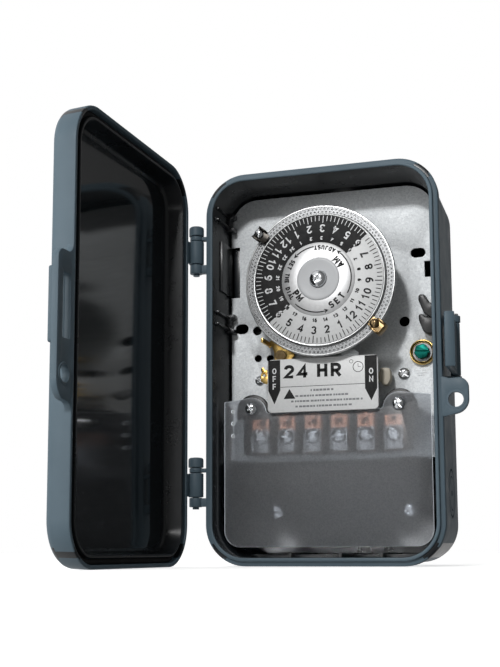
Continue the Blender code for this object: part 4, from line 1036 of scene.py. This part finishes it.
def make_dial():
    front = RING_FRONT
    disc = [(2.6, 1.1), (9.8, 1.1), (10.0, 0.75), (32.5, 0.75), (32.7, 0.45), (33.0, 0.4), (33.3, 0.7)]
    disc += [(33.5, front - 0.3), (33.8, front), (36.8, front + 0.1), (37.1, front - 0.25),
             (37.6, front - 0.2)]
    disc += [(37.9, front + 0.1), (38.0, front + 0.5), (38.0, front + 1.3), (37.8, front + 1.6),
             (37.5, front + 1.7)]
    disc += [(31.5, front + 1.7), (31.4, 2.4), (7.5, 3.2), (7.5, 9.0), (2.6, 9.0)]
    dial = piece("dial_plate", turned(disc, 0, DIAL_Z, 144), DIAL_METAL, "dial", 28,
                 ["dial_disc"])

    # painted shade: the front of the knurled band between the points takes a darker copy of the dial metal
    def in_groove(x, d, z, n):
        return 33.6 < math.hypot(x, z - DIAL_Z) < 36.9 and d < front + 0.2

    paint(dial, DARK_METAL_AND_PAINTED_SHADE, in_groove)
    # painted highlight: the knurl's points are lighter than the ring they stand on
    piece("dial_knurl", knurl(), KNURL_PAINTED_HIGHLIGHT, "dial", 20)
    face = [(HUB_R - 0.3, 0.6), (HUB_R - 0.3, 0.12), (FACE_R - 0.2, 0.12), (FACE_R, 0.25), (FACE_R, 0.6)]
    piece("dial_scale", turned(face, 0, DIAL_Z, 144, close=True), DIAL_PAPER, "dial",
          replaces=["dial_face"])
    hub = [(10.7, 0.7), (10.7, -0.05), (HUB_R - 0.25, -0.05), (HUB_R, 0.1), (HUB_R, 0.7)]
    piece("dial_hub", turned(hub, 0, DIAL_Z, 128, close=True), HUB, "dial")
    boss = [(2.6, 1.0), (10.6, 1.0), (10.6, -0.25), (10.2, -0.45), (9.6, -0.5), (8.6, -0.35), (4.4, -0.3),
            (2.6, -0.3)]
    piece("dial_boss", turned(boss, 0, DIAL_Z, 96, close=True), FROSTED, "dial")
    night = ring_sector(HUB_R + 0.1, FACE_R - 0.1, *NIGHT, (0.02, 0.14), 72)
    piece("dial_night_band", night, INK, "dial")
    make_dial_marks()
    top = box_mm("dial_bush")[0][1]
    bush = [(2.3, 1.2), (2.3, top), (4.6, top), (5.0, top + 0.2), (5.2, top + 0.6), (5.2, 1.0), (5.0, 1.2)]
    piece("centre_bush", turned(bush, 0, DIAL_Z, 48, close=True), BRASS, "dial",
          replaces=["dial_bush"])
    screw("centre_screw", 0, DIAL_Z, 4.2, 2.3, top - 0.1, "dial", NICKEL, "cross", ["dial_screw"], 32)


def knurl():
    """Two offset rows of small points pressed into the dial's rim."""
    bm = bmesh.new()
    count = 112
    for row, r in enumerate((34.6, 36.0)):
        for i in range(count):
            turn = 360 * (i + row / 2) / count
            half = 0.37 * 360 / count
            base = [(turn - half, r), (turn, r - 0.6), (turn + half, r), (turn, r + 0.6)]
            foot = [with_depth(polar(a, radius), RING_FRONT + 0.12) for a, radius in base]
            corners = [bm.verts.new(at(*point)) for point in foot]
            tip = bm.verts.new(at(*with_depth(polar(turn, r), RING_FRONT - 0.7)))
            for k in range(4):
                bm.faces.new((corners[k], corners[(k + 1) % 4], tip))
    return bm


def with_depth(point, depth):
    return point[0], depth, point[1]


def radial(bm, angle):
    """Turns a mesh made along the dial's +X radius to its place."""
    return moved(bm, about(spun(-angle, "Y"), 0, 0, DIAL_Z))


def make_dial_marks():
    """Ticks, hours, the arrows round the hub and the words on it."""
    dark, light = [*hub_words(), *hub_arrows()], []
    for i in range(TICKS):
        angle = NIGHT[0] + 360 * i / TICKS
        inner, half = (28.4, 0.2) if i % 4 == 0 else (29.3, 0.17)
        tick = block((inner, 31.9), (-0.04, 0.1), (DIAL_Z - half, DIAL_Z + half), 0.02)
        (light if i <= TICKS // 2 else dark).append(radial(tick, angle))
    for hour in range(HOURS):
        angle = NIGHT[0] - 15 * (hour - 6)
        marks = ((str((hour - 1) % 12 + 1), 3.9, 25.6, 0.38), (str(hour or HOURS), 1.6, 20.7, 0.26))
        for text, size, r, weight in marks:
            if hour in (6, 18):
                for colour, night in ((light, True), (dark, False)):
                    word = lettering(text, size, polar(angle, r), angle - 270, PRINT_DEPTH, weight)
                    colour.append(half_of(word, angle, night == (hour == 6)))
            else:
                colour = light if (angle - NIGHT[0]) % 360 < 180 else dark
                colour.append(lettering(text, size, polar(angle, r), angle - 270, PRINT_DEPTH, weight))
    piece("dial_dark_marks", merged(*dark), INK, "dial")
    piece("dial_light_marks", merged(*light), WHITE_INK, "dial")


def half_of(bm, angle, ahead):
    """Keeps the part of a mark that lies ahead of, or behind, a radius of the dial."""
    a = math.radians(angle)
    normal = Vector((-math.sin(a), 0, math.cos(a)))
    whole = [*bm.verts, *bm.edges, *bm.faces]
    bmesh.ops.bisect_plane(bm, geom=whole, plane_co=at(0, 0, DIAL_Z), plane_no=normal,
                           clear_inner=ahead, clear_outer=not ahead)
    return bm


def hub_words():
    words = []
    for text, angle in (("AM", 37), ("PM", 217)):
        words.append(lettering(text, 3.2, polar(angle, 12.8), angle - 270, HUB_PRINT_DEPTH, 0.5))
    curved = (("ADJUST", 77, 6.8, 2.1, 15.9, 0.3), ("SET THE DIAL", 178, 6.4, 2.1, 15.9, 0.3),
              ("SET", 309, 13.0, 3.3, 14.8, 0.4))
    for text, middle_angle, step, size, r, weight in curved:
        start = middle_angle - step * (len(text) - 1) / 2
        for i, letter in enumerate(text):
            angle = start + step * i
            words.append(lettering(letter, size, polar(angle, r), angle - 270, HUB_PRINT_DEPTH, weight))
    return words


def hub_arrows():
    parts = []
    for start, end in ((225, 281), (-29, 48), (97, 130)):
        parts.append(ring_sector(16.3, 16.9, start, end, HUB_ARROW, 24))
        tip = end + 7
        head = [polar(tip, 16.6), polar(end - 1, 17.8), polar(end + 1, 16.6), polar(end - 1, 15.4)]
        parts.append(plate(head, HUB_ARROW, edge=0.02))
    return parts


def make_trippers():
    """Folded clips over the dial's rim: a dark one for on, and a tarnished brass one for off."""
    for kind, material, bright in (("on", BURNT_STEEL, NICKEL), ("off", OLD_BRASS, OLD_BRASS)):
        joint = JOINTS[f"tripper_{kind}_shift"]
        sx, _, sz = middle(f"tripper_{kind}_screw")
        angle = math.degrees(math.atan2(sz - DIAL_Z, sx))
        top = RING_FRONT - 2.6
        fold = [(34.2, 0.0), (41.0, 0.0), (41.7, 0.6), (41.8, 1.3), (41.8, 5.1), (41.4, 5.6), (35.2, 5.6),
                (35.2, 4.85)]
        fold += [(40.6, 4.8), (40.9, 4.4), (40.9, 1.5), (40.5, 1.1), (34.2, 1.1)]
        strap = swept_up([(x, top + d) for x, d in fold], DIAL_Z - 2.5, DIAL_Z + 2.5, 0.15)
        cheeks = []
        for z0, z1 in ((-3.3, -2.5), (2.5, 3.3)):
            cheek = [(36.0, 0.5), (36.4, -1.2), (37.4, -1.8), (40.4, -1.8), (41.4, -1.2), (41.7, 4.7)]
            cheek += [(38.9, 5.3), (38.6, 1.3)]
            cheek = soften([(x, top + d) for x, d in cheek], 0.5)
            cheeks.append(swept_up(cheek, DIAL_Z + z0, DIAL_Z + z1, 0.15))
        tongue = block((33.8, 36.4), (top + 0.1, top + 1.0), (DIAL_Z - 1.2, DIAL_Z + 1.2), 0.2)
        clip = merged(strap, tongue, *cheeks)
        piece(f"tripper_clip_{kind}", radial(clip, angle), material, joint["child"],
              replaces=[f"tripper_{kind}"])
        screw(f"tripper_thumb_{kind}", sx, sz, 2.3, 2.0, top - 0.05, joint["child"], bright, "slot",
              [f"tripper_{kind}_screw"], 50 - angle)


# ---------------------------------------------------------------- label and switch


def make_label():
    (x0, d0, z0), (x1, d1, z1) = box_mm("label_plate")
    outline = rounded(x0, x1, z0, z1, 2.2, 10)
    card = plate(outline, (d0, d1), edge=0.45)
    piece("label_card", card, WHITE, "enclosure", replaces=["label_plate"])
    face = (d0 - 0.05, d0 + 0.03)
    dark = []
    for a, b, shoulder in ((x0 + 0.5, -21.9, -12.4), (20.9, x1 - 0.5, -13.2)):
        band = [(a, shoulder), ((a + b) / 2, -19.3), (b, shoulder), (b, z1 - 0.4), (a, z1 - 0.4)]
        dark.append(plate(band, face, edge=0.02))
    dark.append(block((-21.8, 20.8), face, (-10.95, -10.7), 0.02))
    dark.append(plate([(-20.2, -16.8), (-14.2, -16.8), (-17.2, -11.9)], face, edge=0.02))
    dark.append(turned(band_profile(0.75, 0.95, face), 14.2, 0.4, 24, close=True))
    dark.append(turned(band_profile(2.35, 2.65, face), 17.6, -2.4, 32, close=True))
    dark.append(block((17.5, 17.7), face, (-2.5, -0.7), 0.02))
    dark.append(block((17.5, 18.9), face, (-2.5, -2.3), 0.02))
    dark.append(lettering("24 HR", 6.4, (-5.4, -3.3), 0, face[0], 0.8, 1.22))
    piece("label_print", merged(*dark), INK, "enclosure")
    stacked = []
    for x, letters, top in ((-24.9, "OFF", -2.6), (24.0, "ON", -4.8)):
        for i, letter in enumerate(letters):
            stacked.append(lettering(letter, 2.9, (x, top - 3.9 * i), 0, d0 - 0.08, 0.29, 1.05))
    piece("label_off_on", merged(*stacked), WHITE_INK, "enclosure")
    piece("label_small_lines", small_lines(face), GREY_INK, "enclosure")


def small_lines(face):
    """Rows of short bars that stand for small print."""
    rows = ((-6.4, 5.4, -12.9, 1.0), (-14.2, 13.6, -15.6, 0.9), (-16.4, 19.6, -18.2, 0.9),
            (-14.2, 14.6, -20.8, 0.9))
    parts = []
    for row, (start, end, z, half) in enumerate(rows):
        x, i = start, 0
        while x < end - 0.8:
            width = 0.7 + 0.9 * abs(math.sin(2.7 * i + 1.9 * row))
            width = min(width, end - x)
            parts.append(block((x, x + width), face, (z - half / 2, z + half / 2), 0.02))
            x += width + (0.3 if i % 5 else 0.7)
            i += 1
    return merged(*parts)


TERMINALS = [f"terminal_plate_{i}" for i in range(1, 7)]


def make_switch():
    """The black moulding: barriers between the terminals, the housing under the label, and two ears."""
    (x0, _, z0), (x1, back, _) = box_mm("switch_base")
    first, last = middle(TERMINALS[0])[0], middle(TERMINALS[-1])[0]
    pitch = (last - first) / 5
    parts = [block((x0, x1), (20.0, PLATE[0][1] - 0.3), (z0, -22.4), 0.4)]
    for i in range(7):
        x = first + (i - 0.5) * pitch
        parts.append(block((x - 0.8, x + 0.8), (13.4, 20.4), (z0 + 0.2, -22.6), 0.35))
    parts += housing()
    for x in SHIELD_SCREW_X:
        ear = plate(arc(x, -21.5, 8.4, -10, 190, 24) + [(x - 8.0, -26.0), (x + 8.0, -26.0)], (13.4, 16.4),
                    edge=0.6)
        parts += [ear, turned([(3.6, 12.6), (4.0, 12.9), (4.0, 27.4)], x, SHIELD_SCREW_Z, 32)]
    parts.append(block((-30.4, 28.4), (27.0, back), (-40.0, -26.5), 0.3))
    piece("switch_moulding", merged(*parts), BLACK, "enclosure", replaces=["switch_base"])


def housing():
    """Walls round the moving contacts, open at both ends for the slide bar."""
    front, back = box_mm("label_plate")[1][1] + 0.4, PLATE[0][1] - 0.4
    walls = [block((-22.0, 20.0), (front, 18.2), (-22.6, 2.0), 0.4)]
    for low, high in ((-1.4, 2.0), (-22.6, -19.2)):
        walls.append(block((-22.0, 20.0), (17.8, back), (low, high), 0.4))
    return walls


def make_terminals():
    """Copper plates with an oval hole, each under a cupped clamp and a combination screw."""
    for i, node in enumerate(TERMINALS, 1):
        (x0, d0, z0), (x1, d1, z1) = box_mm(node)
        x = (x0 + x1) / 2
        hole = circle(x, -27.6, 1.0, 20)
        strip = plate(rounded(x0, x1, z0, z1, 0.8, 4), (d0, d1), [hole], edge=0.2)
        lip = plate(rounded(x0 + 0.4, x1 - 0.4, -31.4, z1 - 0.5, 0.6), (d0 - 1.5, d0 + 0.1),
                    [obround_up(x, -27.4, 5.0, 3.2)], edge=0.5)
        piece(f"terminal_strip_{i}", merged(strip, lip), COPPER, "enclosure", replaces=[node])
        sx, _, sz = middle(f"terminal_screw_{i}")
        seat = d0 - 0.3
        clamp = [(sx - 4.9, z0 + 0.1), (sx + 4.9, z0 + 0.1), (sx + 4.7, sz + 3.2), (sx + 2.4, sz + 4.4)]
        clamp += [(sx - 2.4, sz + 4.4), (sx - 4.7, sz + 3.2)]
        saddle = plate(soften(clamp, 0.8), (seat - 1.1, seat + 0.2), edge=0.35)
        fins = [block((sx + s * 4.0 - 0.45, sx + s * 4.0 + 0.45), (seat - 2.4, seat - 0.9),
                      (z0 + 0.4, sz + 1.4), 0.3)
                for s in (-1, 1)]
        piece(f"terminal_clamp_{i}", merged(saddle, *fins), STEEL, "enclosure")
        screw(f"terminal_head_{i}", sx, sz, 3.7, 2.2, seat - 1.1, "enclosure", NICKEL, "combo",
              [f"terminal_screw_{i}"], 20 + 37 * i)


def obround_up(cx, cz, length, width, steps=10):
    r, reach = width / 2, (length - width) / 2
    return arc(cx, cz + reach, r, 0, 180, steps) + arc(cx, cz - reach, r, 180, 360, steps)


def make_slider():
    """The slide bar's ivory handle, and its yellow link with the pin that turns the lever."""
    (x0, d0, _), (_, d1, _) = box_mm("switch_slider")
    bar = block((x0, 27.4), (20.0, 23.0), (-8.2, -3.4), 0.3)
    grip = [(26.3, -8.2), (27.4, -10.2), (28.4, -10.4), (30.0, -10.4), (31.2, -8.6), (31.6, -7.4)]
    grip += [(31.6, -3.8), (31.0, -2.2), (30.2, -1.8), (27.0, -1.8), (26.3, -2.6)]
    handle = plate(soften(grip, 0.7), (d0, d1), edge=0.6)
    piece("slide_handle", merged(bar, handle), IVORY, "slider", replaces=["switch_slider"])
    (_, l0, _), (_, l1, _) = box_mm("slider_link")
    link = [(-35.2, -5.6), (-35.2, -1.8), (-34.4, -1.4), (-35.1, -0.4), (-35.0, 1.0), (-33.8, 1.7),
            (-33.2, 0.4)]
    link += [(-32.6, -0.2), (-31.8, 0.3), (-31.6, -1.6), (-31.0, -3.8), (-19.0, -3.8), (-19.0, -7.8)]
    link += [(-30.5, -7.8), (-34.0, -6.6)]
    strap = plate(soften(link, 0.3, 3), (l0, l0 + 1.2), [circle(-33.6, -2.8, 0.75, 20)], edge=0.15)
    pin = turned([(1.0, l0 - 0.4), (1.2, l0 - 0.2), (1.2, l1)], *SLIDE_PIN, 24)
    piece("slide_link", merged(strap, pin), YELLOW_ZINC, "slider", replaces=["slider_link"])


def make_lever():
    """The stamped trip lever, its finger folded forward beside the dial."""
    px, _, pz = joint_place("lever_turn")
    (_, d0, _), (_, d1, _) = box_mm("trip_lever")
    pin, fork = SLIDE_PIN[1], 1.7
    outline = [(px - 3.6, pz + 2.0), (-30.8, 13.4), (-32.2, 12.2), (-33.2, 13.8), (-31.6, 16.2),
               (-27.6, 16.6)]
    outline += [(-20.0, 11.6), (-18.6, 8.0), (px + 3.4, pz - 5.0), (px + 3.2, pin - 2.6),
                (px + fork, pin - 2.6)]
    outline += [(px + fork, pin + 2.4), (px - fork, pin + 2.4), (px - fork, pin - 2.6),
                (px - 3.2, pin - 2.6)]
    outline += [(px - 3.4, pz - 5.0)]
    plate_part = plate(soften(outline, 0.5, 3), (d1 - 1.2, d1), [circle(px, pz, 1.75, 32)], edge=0.2)
    finger = block((-33.0, -31.8), (d0, d1 - 0.1), (13.2, 15.4), 0.25)
    piece("lever_stamping", merged(plate_part, finger), YELLOW_ZINC, "lever",
          replaces=["trip_lever"])


def make_shield():
    (x0, d0, z0), (x1, d1, _) = box_mm("wiring_shield")
    outline = arc(x0 + 8.2, z0 + 8.2, 8.2, 180, 270, 14) + arc(x1 - 8.2, z0 + 8.2, 8.2, 270, 360, 14)
    outline += [(x1, -16.8), (36.6, -15.0)]
    outline += arc(36.6, -22.6, 7.6, 80, 175, 16) + [(28.0, -23.0), (-29.5, -23.0)]
    outline += arc(-38.0, -22.6, 7.6, 5, 100, 16) + [(x0, -16.8)]
    holes = [circle(-47.7, z, 0.9, 20) for z in (-21.6, -27.8, -34.0)]
    holes += [circle(x, SHIELD_SCREW_Z, 1.7, 20) for x in SHIELD_SCREW_X]
    sheet = piece("shield_sheet", plate(outline, (d0, d1), holes, 0.12), SMOKED, "enclosure",
                  replaces=["wiring_shield"])
    # painted light: the sheet's cut edges take the glowing edge material
    paint(sheet, CUT_EDGE_PAINTED_GLOW, lambda x, d, z, n: abs(n.y) < 0.8 and abs(x) < 60)
    for label in ("left", "right"):
        node = f"shield_screw_{label}"
        sx, _, sz = middle(node)
        screw(f"shield_head_{label}", sx, sz, 3.2, 2.1, d0 - 0.05, "enclosure", NICKEL, "combo", [node], 60)


def make_hidden_details():
    """Screws on the two posts under the shield, and the tab under the dial that carries the label."""
    for i, (x, z) in enumerate(SHIELD_POSTS):
        screw(f"post_screw_{i}", x, z, 3.6, 2.2, SHIELD_POST_TIP, "enclosure", NICKEL, "cross", (), 30)
    tab = [(9.0, 2.0), (17.6, 2.0), (17.6, 5.0), (15.6, 6.6), (9.0, 6.6)]
    piece("label_tab", plate(soften(tab, 0.5), (9.8, 10.6), edge=0.15), ZINC, "enclosure")


def finish_cad_nodes():
    """Every CAD node that still shows takes its slot's material."""
    for node, obj in frame["nodes"].items():
        for slot in obj.material_slots:
            slot.material = OLD_BRASS if node == "lever_pivot" else FINISH[SLOTS[node]]


# ---------------------------------------------------------------- studio


def make_floor():
    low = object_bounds()[0][2]
    mesh = bpy.data.meshes.new("studio_floor")
    corners = [(-3, -3, low), (3, -3, low), (3, 3, low), (-3, 3, low)]
    mesh.from_pydata(corners, [], [(0, 1, 2, 3)])
    floor = put("studio_floor", mesh)
    mesh.materials.append(PALE_FLOOR)
    floor.visible_diffuse = False
    floor.visible_glossy = False


def area_light(name, place, target, size, power):
    data = bpy.data.lights.new(name, "AREA")
    data.shape = "RECTANGLE"
    data.size, data.size_y = size
    data.energy = power
    light = put(name, data)
    light.location = place
    light.rotation_euler = (Vector(target) - Vector(place)).to_track_quat("-Z", "Y").to_euler()


def set_tone():
    bpy.context.scene.view_settings.view_transform = "Standard"


def make_world():
    """White to look at, and bright on the objects' left and dim on their right."""
    world = bpy.data.worlds.new("studio")
    bpy.context.scene.world = world
    world.use_nodes = True
    tree = world.node_tree
    direction = add_node(tree, "TexCoord", "Generated", {})
    across = add_node(tree, "VectorMath", "Value", {0: direction, 1: (-5.0, 1.0, 0.3)},
                      operation="DOT_PRODUCT")
    strength = spread(tree, across, 0.16, 0.76, (-0.1, 0.7))
    to_camera = add_node(tree, "LightPath", "Is Camera Ray", {})
    seen = add_node(tree, "Math", "Value", {0: to_camera, 1: strength}, operation="MAXIMUM")
    background = tree.nodes["Background"].inputs
    background["Color"].default_value = (1, 1, 1, 1)
    feed(tree, background["Strength"], seen)


def make_camera():
    data = bpy.data.cameras.new("view")
    data.sensor_width = 36
    data.lens = 61.11
    data.shift_y = 0.0997
    data.clip_start = 0.01
    camera = put("view", data)
    turn = spun(17.12, "Z") @ spun(97.6, "X")
    place = Matrix.Translation((0.12786, RIM_Y - 0.5295, -0.09155))
    camera.matrix_world = place @ turn @ spun(-0.2, "Z")
    bpy.context.scene.camera = camera


make_camera()
make_box()
make_hinge_pins()
make_latch()
make_door()
make_plate()
make_ground()
make_ground_mark()
make_clip()
make_dial()
make_trippers()
make_label()
make_switch()
make_terminals()
make_slider()
make_lever()
make_shield()
make_hidden_details()
finish_cad_nodes()
make_floor()
make_world()
set_tone()
area_light("key", (-0.12, -1.5, 0.76), (0, -0.05, 0), (0.15, 0.15), 10.5)
area_light("left_box", (-0.5, -0.62, 0.2), (-0.08, -0.15, 0), (0.3, 0.3), 1.0)
area_light("low_fill", (-0.35, -1.3, -0.02), (0, -0.05, 0), (0.8, 0.15), 1.4)
